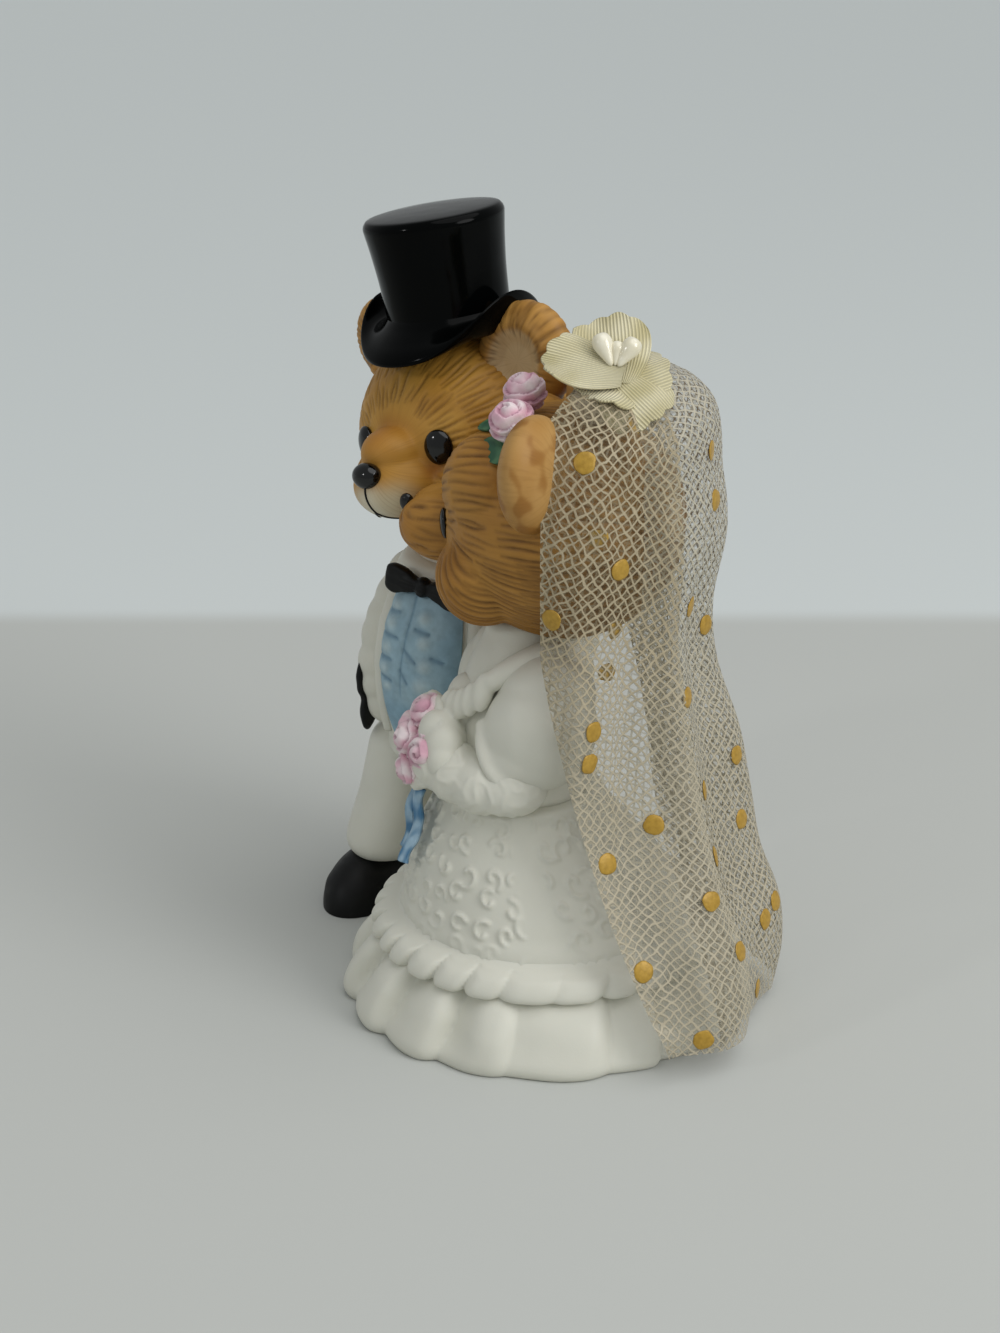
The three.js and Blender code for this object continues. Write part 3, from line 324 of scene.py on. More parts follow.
def lathe(name, outline, spacing, steps, closed=False):
    bm = bmesh.new()
    line = smoothLine([(r, 0, z) for r, z in outline], spacing, closed)
    lowest = min(z for r, z in outline)
    verts = [bm.verts.new((max(p.x, 0), 0, max(p.z, lowest))) for p in line]
    edges = [bm.edges.new(two) for two in zip(verts, verts[1:])]
    if closed:
        edges.append(bm.edges.new((verts[-1], verts[0])))
    bmesh.ops.spin(bm, geom=verts + edges, cent=(0, 0, 0), axis=(0, 0, 1), angle=math.tau,
                   steps=steps, use_merge=True)
    bmesh.ops.remove_doubles(bm, verts=bm.verts, dist=spacing / 50)
    bmesh.ops.recalc_face_normals(bm, faces=bm.faces)
    return pieceOf(bm, name)


def ballPiece(name, halves, spot, around=48, down=32):
    bm = bmesh.new()
    bmesh.ops.create_uvsphere(bm, u_segments=around, v_segments=down, radius=1,
                              matrix=Matrix.Diagonal((*halves, 1)))
    piece = pieceOf(bm, name)
    piece.data.transform(spot)
    return piece


def clothPiece(name, across, along, pointAt, thick, offset=0, flat=None):
    # a grid laid out by pointAt(u, v), given a thickness; flat is its own width and length for the weave
    bm = bmesh.new()
    cloth = bm.loops.layers.uv.new("cloth") if flat else None
    bmesh.ops.create_grid(bm, x_segments=across, y_segments=along, size=0.5)
    for face in bm.faces if flat else ():
        for loop in face.loops:
            loop[cloth].uv = (loop.vert.co.x * flat[0] * mm, loop.vert.co.y * flat[1] * mm)
    for v in bm.verts:
        v.co = pointAt(v.co.x + 0.5, 0.5 - v.co.y)
    bmesh.ops.recalc_face_normals(bm, faces=bm.faces)
    piece = pieceOf(bm, name)
    wall = piece.modifiers.new("wall", "SOLIDIFY")
    wall.thickness = thick
    wall.offset = offset
    applyModifiers(piece)
    return piece


def cutBelow(piece, height):
    bm = bmesh.new()
    bm.from_mesh(piece.data)
    cut = bmesh.ops.bisect_plane(bm, geom=bm.verts[:] + bm.edges[:] + bm.faces[:], plane_co=(0, 0, height),
                                 plane_no=(0, 0, -1), clear_outer=True)
    bmesh.ops.holes_fill(bm, edges=[e for e in cut["geom_cut"] if isinstance(e, bmesh.types.BMEdge)])
    bm.to_mesh(piece.data)
    bm.free()


def onBall(sideDegrees, frontDegrees, distance):
    side, front = math.radians(sideDegrees), math.radians(frontDegrees)
    way = Vector((math.sin(side), -math.sin(front) * math.cos(side), math.cos(front) * math.cos(side)))
    return way * distance


def whiteBisque():
    # white bisque porcelain, slip cast and fired without glaze: dense, soft-edged light, a faint grain
    made, tree, shader = newMaterial("whiteBisque")
    spot = addNode(tree, "TexCoord", "Object")
    cloud = addNode(tree, "TexNoise", "Fac", {"Vector": spot, "Scale": 1 / (9 * mm), "Detail": 3})
    grain = addNode(tree, "TexNoise", "Fac", {"Vector": spot, "Scale": 1 / (0.35 * mm), "Detail": 2})
    settle(tree, shader, {
        "Base Color": addNode(tree, "Mix", 2, {0: cloud, 6: "#DEDDD1", 7: "#D2D1C4"}, data_type="RGBA"),
        "Normal": addNode(tree, "Bump", "Normal", {"Height": grain, "Strength": 0.25,
                                                   "Distance": 0.05 * mm}),
        "Roughness": 0.52, "Specular IOR Level": 0.45, "Subsurface Weight": 0.12,
        "Subsurface Radius": (1.0, 0.85, 0.7), "Subsurface Scale": 1.5 * mm})
    return made


def furPaint():
    # brown underglaze brushed over carved bisque: matt, darker where it pools in the combed grooves
    made, tree, shader = newMaterial("furPaint")
    paint = addNode(tree, "Attribute", "Color", attribute_name="paint")
    comb = addNode(tree, "Attribute", "Vector", attribute_name="comb")
    groove = addNode(tree, "Attribute", "Fac", attribute_name="groove")
    streak = addNode(tree, "TexNoise", "Fac", {"Vector": comb, "Scale": 1.0, "Detail": 3, "Roughness": 0.55})
    thin = addNode(tree, "MapRange", "Result", {"Value": streak, "From Min": 0.48, "From Max": 0.8,
                                                "To Max": 0.28})
    streaked = addNode(tree, "Mix", 2, {0: thin, 6: paint, 7: "#7A4E18"}, data_type="RGBA")
    settle(tree, shader, {
        "Base Color": addNode(tree, "Mix", 2, {0: groove, 6: streaked, 7: "#54340F"}, data_type="RGBA"),
        "Normal": addNode(tree, "Bump", "Normal", {"Height": streak, "Strength": 0.35,
                                                   "Distance": 0.08 * mm}),
        "Roughness": 0.5, "Specular IOR Level": 0.3})
    return made


def blackGlaze(name, shine):
    # black gloss glaze over bisque: mirror-like, with a faint orange peel
    made, tree, shader = newMaterial(name)
    spot = addNode(tree, "TexCoord", "Object")
    wave = addNode(tree, "TexNoise", "Fac", {"Vector": spot, "Scale": 1 / (4 * mm), "Detail": 1})
    settle(tree, shader, {
        "Normal": addNode(tree, "Bump", "Normal", {"Height": wave, "Strength": 0.2, "Distance": 0.2 * mm}),
        "Roughness": addNode(tree, "MapRange", "Result", {"Value": wave, "To Min": 0.08, "To Max": 0.15}),
        "Base Color": "#030404", "Specular IOR Level": shine})
    return made


def blackPaint():
    # black paint on bisque: nearly matt, brushed
    made, tree, shader = newMaterial("blackPaint")
    spot = addNode(tree, "TexCoord", "Object")
    brush = addNode(tree, "TexNoise", "Fac", {"Vector": spot, "Scale": 1 / (1.5 * mm), "Detail": 3})
    settle(tree, shader, {
        "Roughness": addNode(tree, "MapRange", "Result", {"Value": brush, "To Min": 0.38, "To Max": 0.6}),
        "Base Color": "#060707", "Specular IOR Level": 0.25})
    return made


def washPaint(name, roughness):
    # thin underglaze colour washed over bisque, its tone painted point by point
    made, tree, shader = newMaterial(name)
    paint = addNode(tree, "Attribute", "Color", attribute_name="paint")
    spot = addNode(tree, "TexCoord", "Object")
    cloud = addNode(tree, "TexNoise", "Fac", {"Vector": spot, "Scale": 1 / (1.6 * mm), "Detail": 3})
    pool = addNode(tree, "MapRange", "Result", {"Value": cloud, "From Min": 0.3, "From Max": 0.7,
                                                "To Min": 0.86, "To Max": 1.1})
    settle(tree, shader, {
        "Base Color": addNode(tree, "VectorMath", "Vector", {0: paint, "Scale": pool}, operation="SCALE"),
        "Normal": addNode(tree, "Bump", "Normal", {"Height": cloud, "Strength": 0.2, "Distance": 0.05 * mm}),
        "Roughness": roughness})
    return made


netLook = {"pitch": 0.64, "core": 0.15, "edge": 0.26, "fray": 0.6, "knot": 0.3, "wobble": 1.6, "inner": 0.5,
           "film": 0.14, "outer": ((0.87, -0.5), (0.57, 0.82)), "under": ((0.99, 0.3), (0.35, -0.95))}


def netLines(tree, cloth, threads, shift):
    # distance to the nearest thread, rounded where two threads cross in a knot
    waves = []
    for direction in threads:
        scaled = tuple(c / (netLook["pitch"] * mm) for c in direction) + (0,)
        along = addNode(tree, "VectorMath", "Value", {0: cloth, 1: scaled}, operation="DOT_PRODUCT")
        moved = addNode(tree, "Math", "Value", {0: along, 1: shift})
        waves.append(addNode(tree, "Math", "Value", {0: moved, 1: 1.0}, operation="PINGPONG"))
    return addNode(tree, "Math", "Value", {0: waves[0], 1: waves[1], 2: netLook["knot"]},
                   operation="SMOOTH_MIN")


def netCloth():
    # stiff ecru netting knitted in diamonds, in two layers: fuzzy twisted threads, thick at the knots; the
    # under layer and a faint haze stand for further layers of net and are coloured a darker beige as painted
    # shade
    made, tree, shader = newMaterial("netCloth")
    cloth = addNode(tree, "UVMap", "UV", uv_map="cloth")
    dense = addNode(tree, "Attribute", "Fac", attribute_name="dense")
    # how far the net is mixed towards a paler grey-beige: more lower down the near panel and on the far
    # panel
    paler = addNode(tree, "Attribute", "Fac", attribute_name="pale")
    soft = addNode(tree, "TexNoise", "Fac", {"Vector": cloth, "Scale": 1 / (3.2 * mm), "Detail": 1})
    fuzz = addNode(tree, "TexNoise", "Fac", {"Vector": cloth, "Scale": 1 / (0.5 * mm), "Detail": 4,
                                             "Roughness": 0.75})
    centred = addNode(tree, "VectorMath", "Vector", {0: soft.node.outputs["Color"], 1: (0.5, 0.5, 0.5)},
                      operation="SUBTRACT")
    pushed = addNode(tree, "VectorMath", "Vector", {0: centred, "Scale": netLook["wobble"] * mm},
                     operation="SCALE")
    warped = addNode(tree, "VectorMath", "Vector", {0: cloth, 1: pushed})
    frayed = addNode(tree, "Math", "Value", {0: fuzz, 1: 0.5}, operation="SUBTRACT")
    ragged = addNode(tree, "Math", "Value", {0: frayed, 1: netLook["fray"]}, operation="MULTIPLY")
    layers = []
    for name, vector, shift in (("outer", warped, 0.0), ("under", cloth, 0.7)):
        line = netLines(tree, vector, netLook[name], shift)
        rough = addNode(tree, "Math", "Value", {0: line, 1: ragged})
        layers.append(addNode(tree, "MapRange", "Result", {
            "Value": rough, "From Min": netLook["core"], "From Max": netLook["core"] + netLook["edge"],
            "To Min": 1.0, "To Max": 0.0}))
    inner = addNode(tree, "Math", "Value", {0: dense, 1: netLook["inner"]})
    second = addNode(tree, "Math", "Value", {0: layers[1], 1: inner}, operation="MULTIPLY", use_clamp=True)
    # a faint haze in the holes, coloured like the under layer: further net, and painted shade on what lies
    # under the veil
    film = addNode(tree, "Math", "Value", {0: soft, 1: netLook["film"] * 2}, operation="MULTIPLY")
    filled = addNode(tree, "Math", "Value", {0: second, 1: film}, operation="MAXIMUM")
    thread = addNode(tree, "Mix", 2, {0: fuzz, 6: "#7E6F52", 7: "#D2C3A2"}, data_type="RGBA")
    # between the near threads, the darker beige of the under layer and the haze: painted shade
    depth = addNode(tree, "Mix", 2, {0: layers[0], 6: "#8A7F63", 7: thread}, data_type="RGBA")
    settle(tree, shader, {
        "Base Color": addNode(tree, "Mix", 2, {0: paler, 6: depth, 7: "#C2BFB0"}, data_type="RGBA"),
        "Alpha": addNode(tree, "Math", "Value", {0: layers[0], 1: filled}, operation="MAXIMUM"),
        "Normal": addNode(tree, "Bump", "Normal", {"Height": layers[0], "Strength": 0.7,
                                                   "Distance": 0.2 * mm}),
        "Roughness": 0.5})
    return made


def goldDot():
    # glued dots of metallic foil on the net: warm, crinkled
    made, tree, shader = newMaterial("goldFoil")
    spot = addNode(tree, "TexCoord", "Object")
    crease = addNode(tree, "TexNoise", "Fac", {"Vector": spot, "Scale": 1 / (0.7 * mm), "Detail": 3})
    settle(tree, shader, {
        "Base Color": addNode(tree, "Mix", 2, {0: crease, 6: "#CBA342", 7: "#8E6A14"}, data_type="RGBA"),
        "Normal": addNode(tree, "Bump", "Normal", {"Height": crease, "Strength": 0.5, "Distance": 0.1 * mm}),
        "Metallic": 0.15, "Roughness": 0.42})
    return made


def satin():
    # cream acetate satin pressed in fine ribs 0.5 mm apart, crimped at the edge: broad silky shine
    made, tree, shader = newMaterial("creamSatin")
    cloth = addNode(tree, "UVMap", "UV", uv_map="cloth")
    rib = addNode(tree, "TexWave", "Fac", {"Vector": cloth, "Scale": 1 / (0.5 * mm) / 20 * math.tau,
                                           "Distortion": 0.4, "Detail": 1.0}, bands_direction="X")
    paint = addNode(tree, "Attribute", "Color", attribute_name="paint")
    # the colour follows the ribs, darker in their grooves and a little lighter on their crests: painted
    # shade and highlight
    ribShade = addNode(tree, "MapRange", "Result", {"Value": rib, "To Min": 0.7, "To Max": 1.06})
    settle(tree, shader, {
        "Base Color": addNode(tree, "VectorMath", "Vector", {0: paint, "Scale": ribShade}, operation="SCALE"),
        "Normal": addNode(tree, "Bump", "Normal", {"Height": rib, "Strength": 0.9, "Distance": 0.1 * mm}),
        "Roughness": 0.24, "Sheen Weight": 0.3, "Anisotropic": 0.6})
    return made


def pearlCoat():
    # imitation pearl, a glass-smooth pearly lacquer over plastic
    made, tree, shader = newMaterial("pearlLacquer")
    spot = addNode(tree, "TexCoord", "Object")
    cloud = addNode(tree, "TexNoise", "Fac", {"Vector": spot, "Scale": 1 / (2 * mm)})
    settle(tree, shader, {
        "Base Color": addNode(tree, "Mix", 2, {0: cloud, 6: "#F7F3E2", 7: "#E2D8B8"}, data_type="RGBA"),
        "Roughness": 0.16, "Coat Weight": 0.8, "Coat Roughness": 0.08, "Sheen Weight": 0.3})
    return made


# each paint with the slot that it stands for
paints = {
    "white": (whiteBisque(), "white_bisque"), "fur": (furPaint(), "brown_bisque"),
    "glaze": (blackGlaze("blackGlaze", 0.06), "black_glaze"),
    "eye": (blackGlaze("wetBlackGlaze", 0.5), "black_glaze"), "black": (blackPaint(), "black_paint"),
    "blue": (washPaint("blueUnderglaze", 0.55), "blue_bisque"),
    "pink": (washPaint("pinkUnderglaze", 0.5), "pink_bisque"),
    "green": (washPaint("greenUnderglaze", 0.45), "green_bisque"), "net": (netCloth(), "net"),
    "dot": (goldDot(), "net"), "satin": (satin(), "satin"), "pearl": (pearlCoat(), "pearl"),
}
print("materials made")

# a row is where a ring of strokes starts, in degrees from the muzzle, and its shortest and longest stroke
furLook = {"spacing": 1.0, "skip": 0.05, "line": 0.26, "depth": 0.28, "across": 27.0, "along": 3.4,
           "base": "#B5802C", "lit": "#CA9A46", "deep": "#96641E", "pool": 0.62,
           "rows": [(26, 3, 6), (44, 5, 9), (66, 5, 9), (92, 6, 10), (122, 6, 10), (150, 5, 8)]}
herFur = {"spacing": 1.2, "line": 0.27, "depth": 0.36, "skip": 0.02,
          "base": "#A06E28", "lit": "#B6863E", "deep": "#85551A", "pool": 0.85,
          "sweep": {"from": (11.7, -14.3, 1.6), "fan": (4, 112), "front": -16.0, "spacing": 1.05,
                    "ease": 0.45,  # its rows start in millimetres from the cheek
                    "rows": [(2.5, 5, 9), (9, 8, 13), (17, 9, 14), (26, 8, 13), (36, 8, 12)]},
          "rows": [(9, 1.2, 2.4), (17, 1.2, 2.6), (25, 1.4, 2.6), (35, 4.2, 6.2), (55, 5, 8), (79, 7, 11),
                   (108, 7, 12), (140, 6, 10)]}
strokeStep = 0.25


def onSkull(polar, around, half):
    wide = math.sin(polar)
    return Vector((math.cos(around) * wide, -math.cos(polar), math.sin(around) * wide)) * half


def strokeCut(t, power):
    # a stroke is shallow at both ends
    return power * math.sin(math.pi * (0.1 + 0.84 * t)) ** 0.5


def cheek(side, sweep):
    # the middle of the fan of long strokes, and the ways back and down from it
    pole = Vector((side * sweep["from"][0], *sweep["from"][1:])).normalized()
    back = (Vector((0, 1, 0)) - pole * pole.y).normalized()
    down = back.cross(pole) * side
    return pole, back, -down if down.z > 0 else down


def sweptStrokes(half, sweep, dice):
    # long strokes that fan out below each cheek, down and back
    points = []
    for side in (1, -1):
        pole, back, down = cheek(side, sweep)
        first, last = (math.radians(a) for a in sweep["fan"])
        for start, shortest, longest in sweep["rows"]:
            count = max(int((last - first) * (start + 2) / sweep["spacing"]), 3)
            for i in range(count):
                heading = first + (last - first) * (i + 0.5 + dice.uniform(-0.25, 0.25)) / count
                length = dice.uniform(shortest, longest)
                power = dice.uniform(0.55, 1.0)
                begin = start + dice.uniform(-1.2, 1.2)
                for k in range(int(length / strokeStep) + 1):
                    far = (begin + k * strokeStep) / half
                    turn = heading * (1 - sweep["ease"] * min(far * half / 30, 1))
                    way = back * math.cos(turn) + down * math.sin(turn)
                    points.append(((pole * math.cos(far) + way * math.sin(far)) * half,
                                   strokeCut(min(k * strokeStep / length, 1), power)))
    return points


def underSweep(spot, sweep):
    pole, back, down = cheek(1 if spot.x > 0 else -1, sweep)
    off = spot - pole * spot.dot(pole)
    heading = math.degrees(math.atan2(off.dot(down), off.dot(back)))
    return heading > sweep["fan"][0] and spot.y > sweep["front"]


def combStrokes(half, look, seed):
    # each row of strokes runs back from the muzzle along the skull
    dice = random.Random(seed)
    sweep = look.get("sweep")
    points = sweptStrokes(half, sweep, dice) if sweep else []
    for start, shortest, longest in look["rows"]:
        polar = math.radians(start)
        count = max(int(math.tau * half * math.sin(polar + 0.1) / look["spacing"]), 5)
        for i in range(count):
            if dice.random() < look["skip"]:
                continue
            around = (i + dice.uniform(-0.22, 0.22)) / count * math.tau
            length = dice.uniform(shortest, longest) / half
            power = dice.uniform(0.5, 1.0)
            drift = dice.uniform(-0.6, 0.6) / half
            begin = polar + dice.uniform(-0.8, 0.8) / half
            phase = dice.uniform(0, math.tau)
            steps = max(int(length * half / strokeStep), 4)
            for k in range(steps + 1):
                t = k / steps
                here = min(begin + length * t, math.pi - 0.02)
                waver = drift * t * t + 0.12 / half * math.sin(phase + 5 * t)
                side = around + waver / max(math.sin(here), 0.2)
                spot = onSkull(here, side, half)
                if sweep and underSweep(spot, sweep):
                    break
                points.append((spot, strokeCut(t, power)))
    return pointTree([spot for spot, power in points]), [power for spot, power in points]


def furCoat(piece, half, look, washes, bare, seed):
    base, lit, deep = (linear(look[k]) for k in ("base", "lit", "deep"))
    washes = [(middle, halves, linear(colour), strength) for middle, halves, colour, strength in washes]
    tree, powers = combStrokes(half, look, seed)
    grooves, combs, colours = [], [], []
    for v in piece.data.vertices:
        away = v.co.normalized()
        _, nearest, far = tree.find(away * half)
        cut = powers[nearest] * math.exp(-(far / look["line"]) ** 2)
        for middle, reach in bare:
            cut *= smooth((v.co - Vector(middle)).length / reach - 0.5)
        grooves.append(cut)
        polar = math.acos(max(-1, min(1, -away.y)))
        around = math.atan2(away.z, away.x)
        combs.extend((math.cos(around) * look["across"], math.sin(around) * look["across"],
                      polar * look["along"]))
        colour = mixed(base, lit, smooth(noise.noise(v.co * 0.13) * 0.5 + 0.5))
        colour = mixed(colour, deep, 0.5 * smooth(noise.noise(v.co * 0.2 + Vector((9, 0, 0)))))
        for middle, halves, wash, strength in washes:
            off = Vector([(p - m) / h for p, m, h in zip(v.co, middle, halves)]).length
            colour = mixed(colour, wash, strength * (1 - smooth(off)))
        colours.extend(colour)
    lifted(piece, [-cut * look["depth"] for cut in grooves])
    pointData(piece, "FLOAT", groove=[cut * look["pool"] for cut in grooves])
    pointData(piece, "FLOAT_VECTOR", comb=combs)
    pointData(piece, "FLOAT_COLOR", paint=colours)


headGrain = 0.272  # voxel that keeps each head under 200,000 triangles


def makeGroomHead():
    half = groomHead["half"]
    lumps = [((0, 0, 0), (half, half, half * 0.98)), ((0, -17.6, -4.7), (7.4, 8.4, 5.9)),
             ((0, -19.0, 0.4), (5.0, 5.2, 4.2)), *pair((8.6, -13.0, -6.0), (5.6, 5.2, 5.2))]
    head = clay("groomHead", lumps, headGrain, 40)
    washes = [((0, -20, 2.4), (6.0, 8, 5.4), "#A4631F", 0.8),
              *pair((7.2, -17.0, -2.5), (3.5, 4, 3), "#A4631F", 0.7),
              ((0, -24.5, -8.5), (8.6, 8.5, 5.8), "#D9D3BE", 1.0),
              ((0, -26.8, -6.0), (5.4, 4.4, 4.4), "#D9D3BE", 0.95),
              ((4.4, -23.8, -6.4), (6.4, 6.0, 4.8), "#D3C8A8", 0.85)]
    furCoat(head, half, furLook, washes, [((0, -25, -7), 8.0), ((0, -24, 0), 5.0)], 3)
    finish(head, groomHeadFrame, "fur", "groom_head", "groom_muzzle")
    makeMouth(head)


def makeMouth(head):
    # a thin black line under the nose that parts into a smile, laid on the muzzle
    tree = surfaceTree(head)
    forward = (groomHeadFrame.to_3x3() @ Vector((0, 1, 0))).normalized()
    lines = [[(0, -4.0), (0, -5.6), (0.05, -7.2), (0.1, -8.4)]]
    lines += [[(side * x, z) for x, z in ((0, -8.2), (1.1, -9.3), (2.8, -9.8), (4.6, -9.5), (6.2, -8.4))]
              for side in (1, -1)]
    curve = bpy.data.curves.new("mouthLine", "CURVE")
    curve.dimensions = "3D"
    curve.bevel_depth = 0.2 * mm
    curve.bevel_resolution = 3
    curve.use_fill_caps = True
    for line in lines:
        rays = [tree.ray_cast(groomHeadFrame @ Vector((p.x, -45, p.z)), forward)
                for p in smoothLine([(x, 0, z) for x, z in line], 0.35)]
        spots = [ray[0] for ray in rays if ray[0] is not None]
        spline = curve.splines.new("POLY")
        spline.points.add(len(spots) - 1)
        for point, spot in zip(spline.points, spots):
            point.co = (*spot, 1)
    drawn = linkIn("mouthCurve", curve)
    mouth = linkIn("mouthLine", settledMesh(drawn))
    bpy.data.objects.remove(drawn)
    finish(mouth, Matrix.Identity(4), "black")


def makeBrideHead():
    half = brideHead["half"]
    lumps = [((0, 0, 0), (half, half, half * 0.98)), *pair((1.8, -19.3, -3.0), (5.8, 7.9, 5.5)),
             *pair((7.2, -7.8, 7.8), (8.4, 8.4, 8.8)), *pair((10.2, -9.5, -6.0), (7.6, 7.6, 7.6))]
    head = clay("brideHead", lumps, headGrain, 18)
    washes = [((0, -26, -10), (6, 6, 4), "#CDC5AC", 0.8), ((4, -24, -3), (6, 6, 6), "#B27A34", 0.5),
              ((12, -10, 6), (8, 8, 8), "#BE8F4C", 0.5)]
    furCoat(head, half, dict(furLook, **herFur), washes, [], 8)
    finish(head, brideHeadFrame, "fur", "bride_head", "bride_muzzle")


# pairs of values are for the left and the right ear
earLook = {"lean": 47.0, "halves": (7.4, 3.3, 8.4), "seat": 0.33, "dish": 1.9, "groove": 0.3}
earLooks = {
    "groom": {"base": "#AE7C36", "lit": "#C7964E", "blot": "#8A5A20", "inner": "#C9AC80", "cloud": 0.3,
              "combed": 0.6, "scale": (1.2, 1.02), "shift": ((1.2, -3.8, -1.9), (0, 0, -0.5))},
    "bride": {"base": "#A67838", "lit": "#BE955A", "blot": "#8C5A1C", "inner": "#B4803E", "cloud": 0.7,
              "combed": 0, "scale": (1.16, 1.16), "shift": ((-0.7, 1.6, 0), (-0.8, 0, 1.5))}}


def makeEar(owner, end):
    head, spot = bears[owner]
    look = earLooks[owner]
    which = 0 if end == "left" else 1
    side = 1 - 2 * which
    bm = bmesh.new()
    bmesh.ops.create_uvsphere(bm, u_segments=120, v_segments=80, radius=1)
    bmesh.ops.rotate(bm, verts=bm.verts, matrix=turned(90, "X"))
    ear = pieceOf(bm, f"{owner}Ear{end.title()}")
    wide, thick, high = (size * look["scale"][which] for size in earLook["halves"])
    base, lit, blot, inner = (linear(look[k]) for k in ("base", "lit", "blot", "inner"))

    def shaped(p):
        rho = math.hypot(p.x, p.z)
        dish = (1 - smooth((rho - 0.25) / 0.45)) * earLook["dish"] if p.y < 0 else 0
        return Vector((p.x * wide, p.y * thick * (1 + 0.14 * smooth(rho)) + dish, p.z * high))

    colours = []
    for v in ear.data.vertices:
        inside = (1 - smooth((math.hypot(v.co.x, v.co.z) - 0.5) / 0.12)) if v.co.y < 0 else 0
        tone = noise.noise(v.co * 1.5) * 0.5 + 0.5
        cloud = smooth((noise.noise(v.co * 2.6 + Vector((3, 1, 7))) - 0.05) * 3) * look["cloud"]
        colours.extend(mixed(mixed(mixed(base, lit, tone), blot, cloud), inner, inside))
    bend(ear, shaped)
    place = (onBall(side * earLook["lean"], 0, head["half"] + earLook["halves"][2] * earLook["seat"])
             + Vector(look["shift"][which]))
    ear.data.transform(Matrix.Translation(place) @ turned(side * earLook["lean"], "Y"))
    combs, grooves = [], []
    for v in ear.data.vertices:
        local = v.co - place
        around = math.atan2(local.x, local.z)
        combs.extend((around * 14, local.length * 0.25, local.y * 0.3))
        ridge = max(0.0, 1 - abs(noise.noise(Vector((around * 7, local.length * 0.15, 3)))) / 0.2)
        grooves.append(ridge * smooth((local.length - 4.2) / 1.5) * look["combed"])
    pointData(ear, "FLOAT", groove=grooves)
    pointData(ear, "FLOAT_VECTOR", comb=combs)
    pointData(ear, "FLOAT_COLOR", paint=colours)
    lifted(ear, [-cut * earLook["groove"] for cut in grooves])
    finish(ear, spot, "fur", f"{owner}_ear_{end}")


# turns are those of the left and the right eye, sizes are shares of the head's
faces = {
    "groom": {"turns": (26.5, -22.0), "high": 86, "halves": (0.125, 0.065, 0.15),
              "nose": (0.14, 0.11, 0.112), "reach": 6.9, "level": 0.11},
    "bride": {"turns": (25, -25.0), "high": 87, "halves": (0.12, 0.042, 0.13),
              "nose": (0.05, 0.065, 0.085), "reach": 8.9, "level": 0.04}}


def makeFace(owner):
    head, spot = bears[owner]
    half, look = head["half"], faces[owner]
    nose = Matrix.Translation((0, -(half + look["reach"] - half * 0.035), -half * look["level"]))
    piece = ballPiece(f"{owner}Nose", tuple(half * h for h in look["nose"]), nose)
    finish(piece, spot, "eye", f"{owner}_nose")
    for end, turn in zip(("left", "right"), look["turns"]):
        eye = ballPiece(f"{owner}Eye{end.title()}", tuple(half * h for h in look["halves"]),
                        Matrix.Translation(onBall(turn, look["high"], half)) @ turned(turn, "Z"))
        finish(eye, spot, "eye", f"{owner}_eye_{end}")


gown = {"waist": 37.0, "lean": 4.5, "flounce": 12.6}


def leaned(z):
    return gown["lean"] * smooth((z - gown["flounce"]) / (gown["waist"] - gown["flounce"]))


# the strip around the bare angle has no curls
curlLook = {"pitch": 4.0, "size": 1.45, "line": 0.34, "height": 0.58, "low": 16.5, "high": 36.0,
            "winding": 4.6, "steps": 25, "bare": -12, "bareHalf": 5.5, "fade": 5}
skirtOutline = [(23.4, 0), (23.4, 14.8), (21.6, 20), (18.6, 25.9), (15.5, 31), (13.2, 35), (12.4, 37)]


def curlTree(look, seed):
    # rows of little spirals around the skirt
    dice = random.Random(seed)
    points = []
    z = look["low"]
    row = 0
    while z < look["high"]:
        count = int(math.tau * between(skirtOutline, z) / look["pitch"])
        for i in range(count):
            angle = (i + 0.5 * (row % 2) + dice.uniform(-0.25, 0.25)) / count * math.tau
            middleZ = z + dice.uniform(-0.8, 0.8)
            start = dice.uniform(0, math.tau)
            hand = dice.choice((1, -1))
            size = look["size"] * dice.uniform(0.8, 1.15)
            for k in range(look["steps"] + 1):
                turn = start + hand * k / look["steps"] * look["winding"]
                reach = size * (0.3 + 0.95 * k / look["steps"])
                high = middleZ + math.sin(turn) * reach
                radius = between(skirtOutline, high)
                here = angle + math.cos(turn) * reach / radius
                points.append(Vector((math.cos(here) * radius, math.sin(here) * radius, high)))
        z += look["pitch"] * 0.92
        row += 1
    return pointTree(points)


def makeSkirt():
    inner = [(0, 26), (8, 25.6), (14.5, 21.5), (18.5, 14), (20.2, 0)]
    skirt = lathe("gownSkirt", inner + skirtOutline + [(8, 37.3), (0, 37.4)], 0.33, 350)
    tree = curlTree(curlLook, 4)

    def relief(p):
        if math.hypot(p.x, p.y) < between(skirtOutline, p.z) - 0.6 or p.z < curlLook["low"] - 2:
            return 0
        off = abs(math.degrees(math.atan2(p.y, p.x)) - curlLook["bare"])
        height = curlLook["height"] * math.exp(-(tree.find(p)[2] / curlLook["line"]) ** 2)
        return height * smooth((off - curlLook["bareHalf"]) / curlLook["fade"])

    carve(skirt, relief)
    bend(skirt, lambda p: Vector((p.x, p.y - leaned(p.z), p.z)))
    finish(skirt, brideFrame, "white", "bride_skirt")


